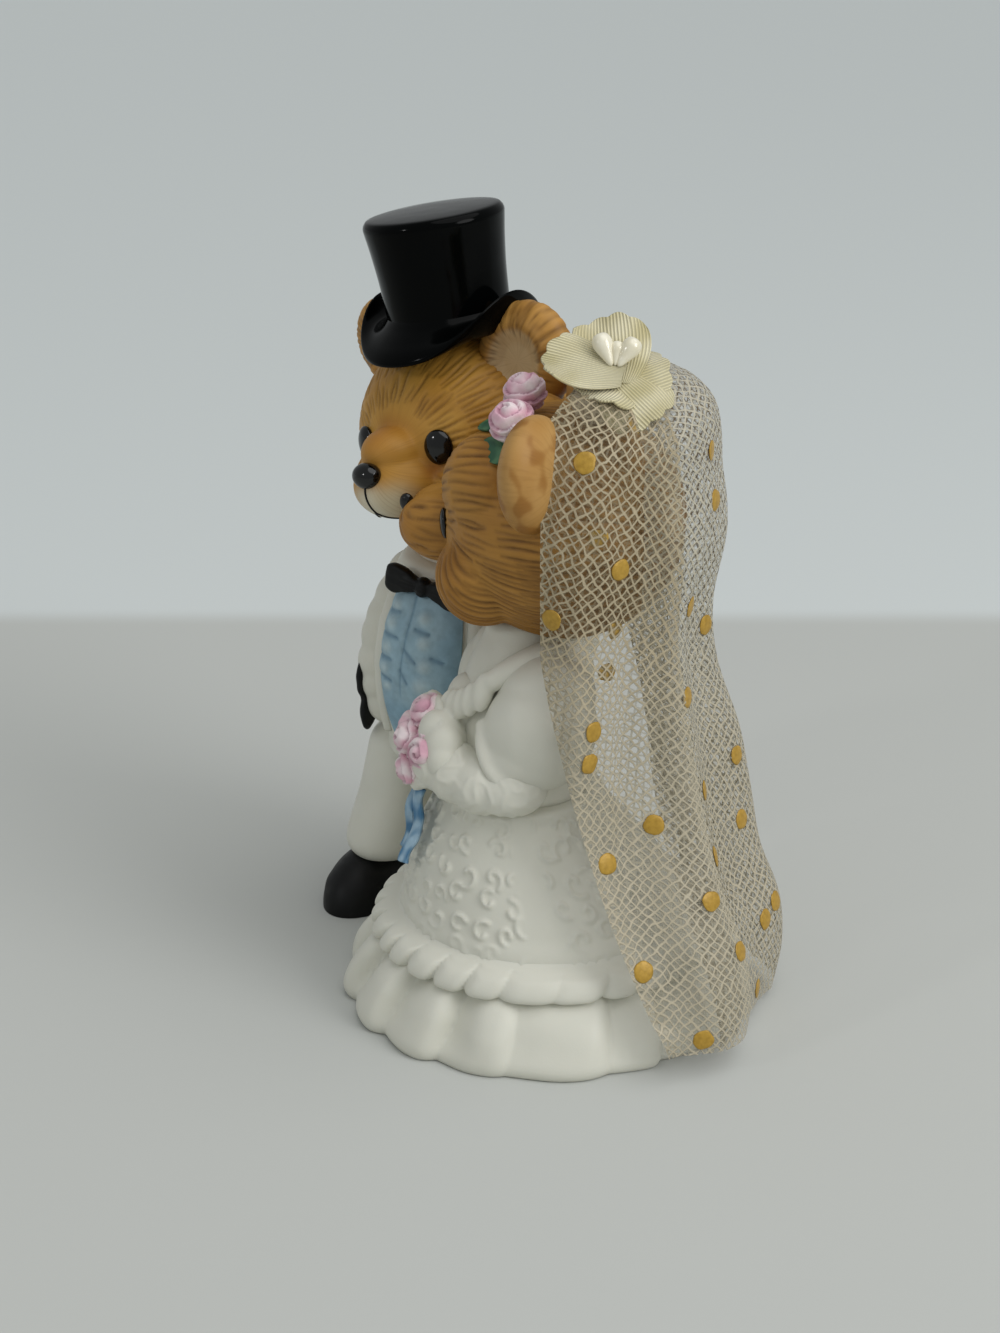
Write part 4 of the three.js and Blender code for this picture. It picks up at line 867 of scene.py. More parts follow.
def pleatAt(angle, creases, even=False):
    # how far a pleat lies back at this angle: an uneven one folds under sharply at its right
    around = creases + [(creases[0][0] + 360, creases[0][1])]
    while angle < around[0][0]:
        angle += 360
    while angle >= around[-1][0]:
        angle -= 360
    for (a, deepA), (b, deepB) in zip(around, around[1:]):
        if a <= angle <= b:
            t = (angle - a) / (b - a)
            deep = deepA + (deepB - deepA) * smooth(t * 1.6 - 0.3)
            if even:
                return deep * (1 - math.sin(math.pi * t)) ** 2
            swell = smooth(t / 0.72) ** 0.65 if t < 0.72 else 1 - ((t - 0.72) / 0.28) ** 2.3
            return deep * (1 - swell)
    return 0


def nearer(p):
    # the hem is a little less wide at her left side than at her front
    return 0.066 * max(math.cos(math.atan2(p.y, p.x) + math.radians(12)), 0) ** 2


pleatLook = {"deep": 3.4, "hem": 1.5, "slant": 5.0, "drift": 1.6, "swell": 0.55}
# where the flounce is creased, in degrees around the gown, and how deeply
flounceCreases = [(-109, 0.9), (-88.5, 1.0), (-67, 1.0), (-45.5, 1.0), (-24, 0.45), (6.9, 0.6),
                  (24, 0.8), (43, 0.9), (61, 0.9), (80, 1.0), (101, 0.9), (120, 1.0), (141, 0.9),
                  (160, 1.0), (182, 0.9), (203, 0.9), (226, 1.0)]


def makeFlounce():
    outline = [(23.7, 0.0), (28.0, 0.0), (32.2, 0.0), (33.1, 0.7), (33.3, 2.4), (32.2, 5.6), (30.2, 8.6),
               (27.8, 11.0), (25.0, 12.4), (23.9, 12.2), (23.7, 6)]
    ring = lathe("gownFlounce", outline, 0.4, 480, True)

    def folded(p):
        radius = math.hypot(p.x, p.y)
        angle = math.degrees(math.atan2(p.y, p.x)) - pleatLook["slant"] * (p.z / gown["flounce"] - 0.4)
        angle += pleatLook["drift"] * noise.noise(Vector((p.x * 0.1, p.y * 0.1, p.z * 0.12)))
        depth = pleatLook["hem"] + (pleatLook["deep"] - pleatLook["hem"]) * smooth((p.z - 0.4) / 5.5)
        loose = smooth((radius - 24.2) / 4)
        swell = pleatLook["swell"] * noise.noise(Vector((p.x * 0.1, p.y * 0.1, p.z * 0.16))) * loose
        scale = 1 - (depth * pleatAt(angle, flounceCreases) * loose - swell) / radius - nearer(p) * loose
        return Vector((p.x * scale, p.y * scale, p.z))

    bend(ring, folded)
    finish(ring, brideFrame, "white", "skirt_flounce")


frillLook = {"deep": 1.5, "lift": 0.5, "middle": 13, "drift": 1.5}
frillCreases = [(-128, 0.9), (-117.5, 1.0), (-107, 1.0), (-97, 1.0), (-86, 1.0), (-76, 1.0), (-65.5, 1.0),
                (-53, 1.0), (-40.7, 0.9), (-28, 0.6), (-9, 0.3), (7.5, 0.7), (19, 0.7), (32, 0.9), (44, 1.0),
                (57, 0.9), (69, 1.0), (82, 0.9), (94, 1.0), (107, 1.0), (119, 0.9), (132, 1.0), (145, 1.0),
                (157, 0.9), (170, 1.0), (182, 1.0), (195, 0.9), (208, 1.0), (220, 1.0)]


def makeFrill():
    outline = [(22.4, 16.8), (23.8, 15.9), (25.6, 15.3), (27.2, 14.6), (28.2, 13.3), (28.5, 12.0),
               (27.9, 11.2), (26.3, 11.3), (22.6, 12.2), (22.0, 14.6)]
    ring = lathe("gownFrill", outline, 0.32, 520, True)

    def scalloped(p):
        radius = math.hypot(p.x, p.y)
        angle = math.degrees(math.atan2(p.y, p.x)) - (p.z - frillLook["middle"])
        angle += frillLook["drift"] * noise.noise(Vector((p.x * 0.2, p.y * 0.2, 2)))
        loose = smooth((radius - 23.4) / 3.4)
        fold = pleatAt(angle, frillCreases, True) * loose
        scale = 1 - frillLook["deep"] * fold / radius - nearer(p) * loose * 0.6
        return Vector((p.x * scale, p.y * scale - leaned(p.z), p.z + frillLook["lift"] * fold))

    bend(ring, scalloped)
    finish(ring, brideFrame, "white", "skirt_frill")


def makeBodice():
    outline = [(0, 36.6), (10.6, 36.8), (11.2, 44), (9.6, 52), (7.6, 58), (5.6, 62), (4.4, 65), (0, 65.4)]
    bodice = lathe("gownBodice", outline, 0.6, 120)
    bend(bodice, lambda p: Vector((p.x, p.y - gown["lean"], p.z)))
    finish(bodice, brideFrame, "white", "bride_bodice")


def beaded(places, step):
    # small balls set closely along a smooth line, to be welded into one ridge
    out = []
    line = smoothLine([p[:3] for p in places], step)
    for i, spot in enumerate(line):
        share = i / max(len(line) - 1, 1) * (len(places) - 1)
        k = min(int(share), len(places) - 2)
        size = places[k][3] + (places[k + 1][3] - places[k][3]) * (share - k)
        out.append((tuple(spot), (size, size, size)))
    return out


# balls as middle and halves for her left arm, and beads as middle and radius for its cuff
puffBalls = [((10.44, -3.6, 50.0), (7.5, 8.8, 9.6)), ((9.2, -2.4, 55.6), (6.4, 7.6, 6.0)),
             ((10.8, -5.6, 46.4), (6.0, 7.2, 5.6))]
cuffBeads = [(8.6, -12.5, 51.0, 0.9), (11.5, -12.9, 47.7, 1.1), (13.8, -11.8, 44.8, 1.2),
             (15.0, -8.8, 42.6, 1.1), (15.0, -5.4, 41.8, 0.8)]
armBalls = [((11.4, -8.6, 41.6), (5.4, 5.8, 4.6)), ((9.4, -12.4, 41.6), (5.2, 5.4, 4.9)),
            ((6.4, -15.8, 42.4), (4.9, 4.8, 4.8)), ((4.4, -18.2, 43.4), (4.2, 4.2, 4.4))]


def crinkle(p):
    return 0.2 * smooth(1 - abs(noise.noise(Vector((p.x * 0.5, p.y * 0.8, p.z * 0.7)) * 0.6)) * 3)


def makeArms():
    for which, end in enumerate(("left", "right")):
        cuff = [pair(bead[:3], bead[3])[which] for bead in cuffBeads]
        puff = clay(f"puffSleeve{end.title()}", [pair(*ball)[which] for ball in puffBalls]
                    + beaded([(*place, radius) for place, radius in cuff], 0.8), 0.36, 12)
        carve(puff, lambda p: 0.35 * noise.noise(Vector((p.x * 0.16, p.y * 0.22, p.z * 0.1))))
        finish(puff, brideFrame, "white", f"bride_puff_sleeve_{end}")
        arm = clay(f"forearm{end.title()}", [pair(*ball)[which] for ball in armBalls], 0.36, 12)
        carve(arm, crinkle)
        finish(arm, brideFrame, "white", f"bride_forearm_{end}")


def makeRuffle():
    lumps = [*pair((3.4, -17.4, 47.0), (3.4, 3.8, 5.0), (20, "X")),
             ((5.4, -17.8, 46.2), (3.2, 3.2, 4.4)), ((6.8, -18.2, 44.6), (2.7, 2.7, 3.4))]
    fingers = [(1.9, -16.0, 52.0, 0.9, 2.5), (3.3, -15.4, 52.5, 0.95, 2.6), (4.7, -14.5, 53.2, 1.0, 2.7),
               (5.9, -13.4, 54.2, 1.1, 2.9), (7.2, -11.9, 55.8, 1.5, 3.3)]
    shoulder = [(7.5, -10.4, 57.6, 1.7), (7.6, -8.0, 58.8, 2.1), (7.2, -5.2, 59.8, 2.3),
                (6.4, -2.4, 60.6, 2.1), (5.4, 0.6, 60.8, 1.4)]
    lumps += [((x, y, z), (wide, 1.7, high), (-8, "Y"), (-14, "X")) for x, y, z, wide, high in fingers]
    for side, back, drop in ((1, 0, 0), (-1, 4.4, 1.6)):
        lumps += beaded([(side * x, y + back, z - drop, radius) for x, y, z, radius in shoulder], 0.5)
    lumps.append(((0.0, -12.6, 51.0), (4.6, 3.6, 5.0)))
    finish(clay("chestRuffle", lumps, 0.27, 12), brideFrame, "white", "chest_ruffle")


bouquet = {"middle": (0, -20.28, 45.58), "tilt": 74.0, "radius": 6.9, "rose": 3.0, "scallops": 9}
bouquetSpot = Matrix.Translation(bouquet["middle"]) @ turned(bouquet["tilt"], "X")
roseLook = {"deep": "#A85F7C", "pale": "#DDAABB", "white": "#EFE0E2", "winds": 1.75, "uneven": 0.35,
            "edge": 0.86, "grow": 1.06, "flat": 0.9}


def rosePiece(name, half, spot, frameOf, node, seed):
    # a ball whose petals wind out from its middle in one spiral step
    bm = bmesh.new()
    bmesh.ops.create_uvsphere(bm, u_segments=96, v_segments=64, radius=1)
    rose = pieceOf(bm, name)
    spin = random.Random(seed).uniform(0, math.tau)
    colours = []
    deep, pale, white = (linear(roseLook[k]) for k in ("deep", "pale", "white"))
    for v in rose.data.vertices:
        polar = math.acos(max(-1, min(1, v.co.z)))
        around = math.atan2(v.co.y, v.co.x) + spin
        wobble = roseLook["uneven"] * noise.noise(v.co * 1.7 + Vector((seed, 0, 0)))
        phase = (polar * roseLook["winds"] - around / math.tau + wobble) % 1.0
        petal = phase ** 1.6
        cut = smooth((phase - roseLook["edge"]) / (1 - roseLook["edge"]))
        ring = 1 - 0.2 * petal + 0.03 * noise.noise(v.co * 3)
        shade = mixed(white, pale, smooth(0.55 + noise.noise(v.co * 1.4 + Vector((0, seed, 0)))))
        colours.extend(mixed(shade, deep, max(cut * 0.7, 0.5 * petal ** 4)))
        v.co = Vector((v.co.x, v.co.y, v.co.z * roseLook["flat"])) * (half * roseLook["grow"] * ring)
    pointData(rose, "FLOAT_COLOR", paint=colours)
    rose.data.transform(spot)
    finish(rose, frameOf, "pink", node)


def faced(place):
    return Vector(place).to_track_quat("Z", "Y").to_matrix().to_4x4()


def makeBouquet():
    doily = lathe("bouquetDoily", [(0, -4.8), (4.5, -4.0), (6.9, -2.6), (7.8, -1.2), (7.5, -0.2), (6.0, 0.1),
                                   (4, -1.4), (0, -3)], 0.35, 160)

    def scalloped(p):
        scale = 1 + 0.035 * math.cos(math.atan2(p.y, p.x) * bouquet["scallops"])
        return Vector((p.x * scale, p.y * scale, p.z))

    bend(doily, scalloped)
    doily.data.transform(bouquetSpot)
    finish(doily, brideFrame, "white", "bouquet_doily")
    ring = bouquet["radius"] - bouquet["rose"] * 0.72
    places = [(0, 0, bouquet["rose"] * 0.5)]
    places += [(ring * math.cos(i / 4 * math.tau), ring * math.sin(i / 4 * math.tau), 0) for i in range(4)]
    for i, place in enumerate(places):
        spot = bouquetSpot @ Matrix.Translation(place) @ faced((place[0], place[1], 8))
        rosePiece(f"bouquetRose{i + 1}", bouquet["rose"], spot, brideFrame, f"bouquet_rose_{i + 1}", 21 + i)


hatLook = {"forward": 5.2, "seat": 0.9, "tip": 4.0, "side": 0.1, "brim": 13.5, "base": 9.9, "curl": 4.4,
           "dip": 1.6}
hatSpot = (Matrix.Translation((groomHead["half"] * hatLook["side"] + 0.6, -hatLook["forward"] + 0.5,
                               groomHead["half"] * hatLook["seat"])) @ turned(hatLook["tip"], "X"))


def makeHat():
    crown = lathe("hatCrown", [(0, 1.2), (9.6, 1.3), (10.1, 2.2), (10.0, 3.4), (10.1, 6), (10.35, 10),
                               (10.85, 14.5), (11.3, 17.6), (11.4, 18.7), (11.0, 19.5), (10.1, 19.85),
                               (6, 20.1), (0, 20.2)], 0.3, 180)
    brim = lathe("hatBrim", [(9.2, 0.9), (11.0, 0.1), (12.9, -0.2), (13.9, 0.2), (14.1, 0.9), (13.5, 1.6),
                             (12.2, 2.2), (10.9, 3.1), (9.7, 4.4), (9.2, 4.2)], 0.25, 220, True)

    def curled(p):
        # up at the sides, down at the front and the back
        radius = math.hypot(p.x, p.y)
        out = max((radius - hatLook["base"]) / (hatLook["brim"] - hatLook["base"]), 0)
        side = (p.x / max(radius, 0.01)) ** 2
        lift = min(out, 1.2) ** 2 * (hatLook["curl"] * side * side - hatLook["dip"] * (1 - side))
        return Vector((p.x, p.y * (1 + 0.08 * out), p.z + lift))

    bend(brim, curled)
    for piece, node in ((crown, "hat_crown"), (brim, "hat_brim")):
        piece.data.transform(hatSpot)
        finish(piece, groomHeadFrame, "glaze", node)


coatOutline = [(0, 28.2), (12.2, 28.2), (12.9, 32), (13.6, 39), (14.0, 46), (13.6, 53), (12.2, 58.8),
               (9.4, 62.6), (5.8, 64.7), (0, 65)]
coatLook = {"low": 29.6, "tall": 31.9, "round": 13.6, "deep": 13.2, "belly": 3.2, "wide": 0.07}
lapelLook = {"aside": 34, "width": 13, "taper": 6, "top": 60.2, "fall": 26.8, "swell": 0.7, "thick": 0.8}


def bellied(p):
    y = p.y * coatLook["deep"] / coatLook["round"]
    high = (p.z - coatLook["low"]) / coatLook["tall"]
    belly = math.sin(math.pi * min(max(high * 0.8 + 0.2, 0), 1))
    front = coatLook["belly"] * smooth(-y / coatLook["deep"]) * belly
    return Vector((p.x * (1 + coatLook["wide"] * belly), y - front, p.z))


def onCoat(degrees, z, lift):
    angle = math.radians(degrees - 90)
    radius = between(coatOutline[1:], z) + lift
    return bellied(Vector((math.cos(angle) * radius, math.sin(angle) * radius, z)))


def makeCoat():
    coat = lathe("tailCoat", coatOutline, 0.5, 220)
    bend(coat, bellied)
    finish(coat, groomFrame, "white", "groom_coat")
    for name, side in (("lapelLeft", 1), ("lapelRight", -1)):
        def strip(u, v):
            spread = lapelLook["aside"] + u * (lapelLook["width"] - lapelLook["taper"] * v)
            lift = lapelLook["swell"] * math.sin(math.pi * u) ** 0.7 - 0.1
            return onCoat(side * spread, lapelLook["top"] - lapelLook["fall"] * v, lift)

        finish(clothPiece(name, 20, 60, strip, lapelLook["thick"]), groomFrame, "white")
    collar = lathe("shirtCollar", [(8.0, 59.0), (12.3, 59.0), (12.5, 60.2), (11.8, 62.0), (10.6, 63.2),
                                   (8, 63)], 0.4, 160, True)
    bend(collar, lambda p: Vector((p.x, p.y * 0.97, p.z)))
    finish(collar, groomFrame, "white")


# dashes run between two places, bumps have a place and a radius
shirtLook = {"half": 35.0, "top": 60.4, "low": 34.6, "pale": "#C0CFD0", "mid": "#9AB6C2", "deep": "#6E96AE",
             "line": "#33607E"}
shirtDashes = [((-7.6, 51.9), (-3.9, 52.0)), ((-8.2, 48.0), (-4.9, 48.2)), ((-7.6, 44.9), (-4.6, 44.6)),
               ((-0.6, 54.1), (2.1, 53.7)), ((-2.3, 50.5), (0.2, 48.7)), ((-2.8, 46.9), (-1.2, 45.0)),
               ((3.0, 50.0), (5.0, 49.4)), ((-6.9, 55.6), (-4.4, 56.0))]
shirtBumps = [(-5.6, 56.9, 1.9), (-6.0, 54.0, 2.0), (-6.4, 50.0, 1.9), (-6.6, 46.5, 1.8), (-5.6, 43.6, 1.6),
              (0.8, 56.0, 1.9), (1.4, 52.2, 1.9), (2.0, 48.4, 2.0), (1.6, 44.9, 2.6)]


def nearDash(x, z):
    # closeness to the nearest brush dash on the shirt
    close = 0.0
    for (x1, z1), (x2, z2) in shirtDashes:
        run, rise = x2 - x1, z2 - z1
        t = min(max(((x - x1) * run + (z - z1) * rise) / (run * run + rise * rise), 0), 1)
        off = math.hypot(x - x1 - run * t, z - z1 - rise * t)
        close = max(close, math.exp(-(off / (0.2 + 0.26 * math.sin(math.pi * (0.15 + 0.7 * t)))) ** 2))
    return close


def onBump(x, z, bump):
    return 1 - smooth(math.hypot(x - bump[0], (z - bump[1]) * 1.15) / bump[2])


def onPlacket(x, z, half):
    # closeness to the line where the two fronts meet
    middle = -2.6 + 0.9 * smooth((z - 46) / 12)
    return math.exp(-((x - middle) / half) ** 2) * smooth((z - 41) / 3)


def makeShirt():
    def front(u, v):
        across = (u - 0.5) * 2
        end = math.sqrt(max(1 - max(v * 1.25 - 0.3, 0) ** 2 * 0.72, 0.2))
        z = shirtLook["top"] + (shirtLook["low"] - shirtLook["top"]) * v
        degrees = across * shirtLook["half"] * end * (0.86 + 0.14 * v) - 2
        x = onCoat(degrees, z, 0).x
        soft = max(onBump(x, z, bump) for bump in shirtBumps)
        edge = 1 - abs(across) ** 6
        return onCoat(degrees, z, 0.1 + edge * 0.6 + 0.34 * soft - 0.3 * onPlacket(x, z, 0.35)
                      - 0.22 * nearDash(x, z))

    shirt = clothPiece("shirtFront", 150, 200, front, 0.9)
    pale, middle, deep, line = (linear(shirtLook[k]) for k in ("pale", "mid", "deep", "line"))

    def colourAt(p):
        tone = smooth(0.5 + 0.6 * noise.noise(Vector((p.x * 0.3, p.z * 0.25, 2))))
        dark = 0.35 * tone + 0.3 * smooth((p.x - 3) / 4) + 0.35 * smooth((42.5 - p.z) / 3)
        colour = mixed(middle, deep, dark)
        for bump in shirtBumps:
            colour = mixed(colour, pale, 0.6 * onBump(p.x, p.z, bump))
        return mixed(colour, line, max(onPlacket(p.x, p.z, 0.28) * 0.35, nearDash(p.x, p.z) * 0.5))

    paintPoints(shirt, colourAt)
    finish(shirt, groomFrame, "blue", "groom_shirt")


tieLook = {"knot": (1.5, 1.7, 1.75), "wing": (3.6, 1.15, 2.75), "aside": 3.9, "square": 0.62, "waist": 0.45,
           "crease": 0.2, "high": 60.2, "out": 2.3, "tip": 7}


def makeTie():
    # a knot and two boxed wings that widen outwards, welded together
    bm = bmesh.new()
    bmesh.ops.create_uvsphere(bm, u_segments=48, v_segments=32, radius=1,
                              matrix=Matrix.Diagonal((*tieLook["knot"], 1)))
    long, thick, high = tieLook["wing"]
    for side in (1, -1):
        wing = bmesh.ops.create_uvsphere(bm, u_segments=72, v_segments=48, radius=1)
        for v in wing["verts"]:
            boxed = [math.copysign(abs(c) ** tieLook["square"], c) for c in v.co]
            t = 0.5 + 0.5 * boxed[0] * side
            flare = tieLook["waist"] + (1 - tieLook["waist"]) * smooth(t * 1.15)
            fold = 1 - tieLook["crease"] * math.exp(-(boxed[2] / 0.2) ** 2) * (1 - 0.4 * t)
            v.co = Vector((boxed[0] * long + side * tieLook["aside"], boxed[1] * thick * fold,
                           boxed[2] * high * flare))
    tie = pieceOf(bm, "bowTie")
    weld(tie, 0.22, 3)
    carve(tie, lambda p: 0.16 * noise.noise(Vector((p.x * 0.4, p.y * 0.5, p.z * 1.3))))
    place = onCoat(0, tieLook["high"], tieLook["out"]) + Vector((-0.3, 0, 0.7))
    tie.data.transform(Matrix.Translation(place) @ turned(tieLook["tip"], "Y"))
    finish(tie, groomFrame, "black", "bow_tie")


# each sleeve's name, node and voxel, and its balls as middle and halves
sleeves = [
    ("sleeveRight", "groom_sleeve_right", 0.45, [
        ((-10.9, 0, 56.6), (5.0, 5.2, 5.2)), ((-12.3, -1.6, 52.6), (5.0, 5.2, 5.6)),
        ((-13.4, -2.9, 49.4), (4.9, 5.0, 5.2)), ((-14.0, -3.9, 46.5), (4.8, 4.8, 5.0)),
        ((-14.3, -4.8, 42.3), (4.7, 4.8, 4.4)), ((-14.0, -4.9, 38.8), (4.5, 4.7, 4.4)),
        ((-13.5, -4.6, 35.0), (4.2, 4.5, 4.4))]),
    ("sleeveLeft", "groom_sleeve_left", 0.5, [
        ((10.9, 0, 56.6), (5, 5, 5)), ((15.5, 2.6, 54.2), (4.9, 4.9, 4.9)),
        ((19.4, 1.4, 51.0), (4.6, 4.6, 4.6)), ((21.8, -3.6, 47.6), (4.3, 4.3, 4.3))])]
# each paw's name, node, frame, middle and halves
paws = [("groomPawRight", "groom_paw_right", groomFrame, (-13.2, -5.3, 38.5), (2.9, 3.0, 3.6)),
        ("groomPawLeft", "groom_paw_left", groomFrame, (25.6, -9.9, 44.8), (3.5, 3.5, 4.0)),
        ("bridePawLeft", "bride_paw_left", brideFrame, (2.6, -19.0, 43.2), (2.8, 3.2, 3.1)),
        ("bridePawRight", "bride_paw_right", brideFrame, (-2.6, -19.0, 43.2), (2.8, 3.2, 3.1))]
pawFur = dict(furLook, spacing=0.8, across=6.0, along=2.0, depth=0.12,
              rows=[(30, 1, 2), (70, 1, 2), (110, 1, 2)])


def makeSleevesAndPaws():
    for name, node, voxel, lumps in sleeves:
        finish(clay(name, lumps, voxel, 8), groomFrame, "white", node)
    for name, node, frameOf, place, halves in paws:
        paw = clay(name, [((0, 0, 0), halves)], 0.35, 3)
        furCoat(paw, halves[0], pawFur, [], [], 2)
        finish(paw, frameOf @ Matrix.Translation(place), "fur", node)
    gloves = clay("gloves", [((-16.9, -7.4, 39.4), (1.1, 2.1, 3.8)), ((-16.3, -7.4, 33.0), (1.0, 2.0, 3.5)),
                             ((-16.6, -7.4, 36.2), (0.7, 1.3, 2.4))], 0.25, 4)
    carve(gloves, lambda p: 0.25 * noise.noise(p * 0.45))
    finish(gloves, groomFrame, "black", "groom_gloves")


# each leg's side, how far out and forward it stands at its foot, and how far out at its top
legs = [(1, 9.6, 4.6, 6.2), (-1, 12.4, 6.0, 10.0)]
trouserLook = {"low": 10.4, "tall": 17, "rings": 16, "halves": (8.0, 10.0, 4.6), "hem": 8.4}
shoeBalls = [((-13.8, -11.2, 0.4), (6.9, 11.2, 8.8)), ((-13.6, -7.4, 3.0), (6.4, 7.4, 7.0)),
             ((-13.9, -15.6, 2.6), (5.6, 5.6, 5.0))]


def makeTrousers():
    wide, deep, high = trouserLook["halves"]
    lumps = []
    for side, flare, forward, top in legs:
        for k in range(trouserLook["rings"] + 1):
            t = k / trouserLook["rings"]
            lumps.append(((side * (flare + (top - flare) * t), -forward * (1 - t),
                           trouserLook["low"] + trouserLook["tall"] * t),
                          (wide - 0.6 * math.sin(math.pi * t), deep + 1.3 * t, high)))
    trousers = clay("trousers", lumps, 0.5, 24)
    bend(trousers, lambda p: p + Vector((0.5, 0.5, 0))
         * noise.noise(Vector((p.x * 0.1, p.y * 0.1, p.z * 0.13))))
    cutBelow(trousers, trouserLook["hem"])
    finish(trousers, groomFrame, "white", "groom_trousers")
    shoe = clay("shoeRight", shoeBalls, 0.45, 8)
    cutBelow(shoe, 0.05)
    finish(shoe, groomFrame, "black", "groom_shoe_right")


# degrees to her left and forward on the head; roses have how far out and how large, leaves their turn
hairRoses = [(5.2, 12.4, 3.3, 3.2), (22.4, 12.6, 2.8, 3.4)]
hairLeaves = [(14, 24, 15), (33, 20, -35)]
leafLook = {"half": 2.0, "length": 3.5, "arch": 0.7, "droop": 0.5, "deep": "#24563A", "pale": "#5E8A5E",
            "thick": 0.5, "seat": 0.9}


def makeHairFlowers():
    for i, (side, front, out, half) in enumerate(hairRoses):
        place = onBall(side, front, brideHead["half"] + out)
        rosePiece(f"hairRose{i + 1}", half, Matrix.Translation(place) @ faced(place), brideHeadFrame,
                  f"hair_rose_{i + 1}", 31 + i)

    def blade(u, v):
        across, along = (u - 0.5) * 2, (v - 0.5) * 2
        wide = leafLook["half"] * max(1 - along * along, 0.0) ** 0.7
        droop = leafLook["droop"] * abs(across) * wide / leafLook["half"]
        high = leafLook["arch"] - droop + 0.15 * abs(across)
        return Vector((across * wide, along * leafLook["length"], high))

    for i, (side, front, spin) in enumerate(hairLeaves):
        leaf = clothPiece(f"hairLeaf{i + 1}", 20, 30, blade, leafLook["thick"])
        paintPoints(leaf, lambda p: mixed(linear(leafLook["deep"]), linear(leafLook["pale"]),
                                          smooth(0.4 + noise.noise(p * 0.8)) * 0.6))
        place = onBall(side, front, brideHead["half"] + leafLook["seat"])
        leaf.data.transform(Matrix.Translation(place) @ turned(side, "Y") @ turned(front, "X")
                            @ turned(spin, "Z"))
        finish(leaf, brideHeadFrame, "green", f"hair_leaf_{i + 1}")


flowerLook = {"back": -17.0, "face": (22, -12), "seat": 25.4, "length": 10.6, "width": 11.6, "inner": -1.4,
              "turn": -12, "drop": (1.0, 1.6, -0.4), "crimp": 0.55, "wave": 0.7, "thick": 0.35,
              "pale": "#E6DEBB", "deep": "#C4B988"}
flowerPlace = onBall(0, flowerLook["back"], flowerLook["seat"]) + Vector(flowerLook["drop"])
flowerTurn = Vector((0, 0, 1)).rotation_difference(onBall(*flowerLook["face"], 1))
flowerSpot = Matrix.Translation(flowerPlace) @ flowerTurn.to_matrix().to_4x4()
# each petal's rise, length and width as shares, and the layer that it lies in
petalLook = [(1.0, 0.5, 0.9, 0), (-1.1, 0.88, 1.0, 1), (0.1, 0.76, 0.9, 0), (1.8, 0.93, 1.0, 1),
             (1.0, 0.97, 0.8, 2)]
pearlFan = [(-46, 1.0), (-78, 0.72), (-107, 0.95)]
pearlOutline = [(0, 0), (0.4, 0.35), (0.85, 1.5), (1.4, 3.0), (1.5, 3.9), (1.15, 4.8), (0.5, 5.1), (0, 5.15)]


def makeFlower():
    for place, (cup, longer, wider, row) in enumerate(petalLook):
        inner = flowerLook["inner"]
        length = flowerLook["length"] * longer - inner
        spin = place / 5 * math.tau + math.radians(flowerLook["turn"])

        def leaf(u, v):
            across = (u - 0.5) * 2
            wide = 0.42 + 0.58 * math.sin(max(v, 0) * 0.66 * math.pi) ** 0.8
            crimp = flowerLook["crimp"] * abs(math.sin(across * 5.5 + place)) * smooth((v - 0.75) / 0.25)
            tip = inner + (length + crimp) * v * (1 - 0.2 * across * across * v)
            side = flowerLook["width"] * wider / 2 * across * wide
            wave = flowerLook["wave"] * math.sin(across * 3.6 + place) * v * v
            lift = cup * v * v - 0.6 * across * across * (1 - v) + wave
            return Vector((math.cos(spin) * tip - math.sin(spin) * side,
                           math.sin(spin) * tip + math.cos(spin) * side, lift + row * 0.9 + 0.4))

        petal = clothPiece(f"satinPetal{place + 1}", 80, 70, leaf, flowerLook["thick"], -1,
                           (flowerLook["width"], flowerLook["length"]))
        paintPoints(petal, lambda p: mixed(linear(flowerLook["pale"]), linear(flowerLook["deep"]),
                                           smooth(0.5 + 0.6 * noise.noise(p * 0.3))))
        petal.data.transform(flowerSpot)
        finish(petal, brideHeadFrame, "satin", f"satin_petal_{place + 1}")
    for i, (fan, size) in enumerate(pearlFan):
        drop = lathe(f"dropPearl{i + 1}", [(r * size, z * size) for r, z in pearlOutline], 0.15, 48)
        drop.data.transform(flowerSpot @ turned(fan + 180, "Z") @ Matrix.Translation((0, 0.9, 2.6))
                            @ turned(-66, "X"))
        finish(drop, brideHeadFrame, "pearl", f"drop_pearl_{i + 1}")


veilLook = {"reach": 35.0, "high": 104.3, "layer": 1.4, "fold": 1.9, "folds": 8, "top": 0.115,
            "aside": 2.6, "ripple": 0.5}
gatherLook = {"lift": 2.8, "halves": (4.2, 4.2, 3.6), "colour": "#D9CFB4"}
# its outline from crown to hem as shares of reach and high, at her left side and then at her back
veilShares = [
    (0.155, 0.973, 0.17, 0.995), (0.26, 0.962, 0.3, 1), (0.386, 0.935, 0.43, 0.983),
    (0.509, 0.896, 0.55, 0.94), (0.577, 0.834, 0.65, 0.863), (0.589, 0.748, 0.68, 0.757),
    (0.577, 0.642, 0.615, 0.642), (0.609, 0.547, 0.635, 0.547), (0.629, 0.441, 0.735, 0.441),
    (0.691, 0.345, 0.79, 0.345), (0.814, 0.249, 0.85, 0.249), (0.923, 0.163, 0.955, 0.163),
    (0.989, 0.086, 0.98, 0.086), (1, 0.046, 0.945, 0.013)]
# degrees around her left where each panel starts and ends, first at the crown and then at the hem
panels = {
    "front": {"from": (-24, 16), "to": (33, 42), "spread": 14, "layers": 1, "columns": 70, "rows": 200,
              "flat": (0.025, 0.118)},
    "back": {"from": (20, 28), "to": (140, 128), "spread": 0, "layers": 0, "columns": 150, "rows": 200,
             "flat": (0.056, 0.122)}}
# the veil stays outside the flounce below and the frill above it
clearLook = {"flounce": 34.3, "frill": 28.4, "gap": 0.9}


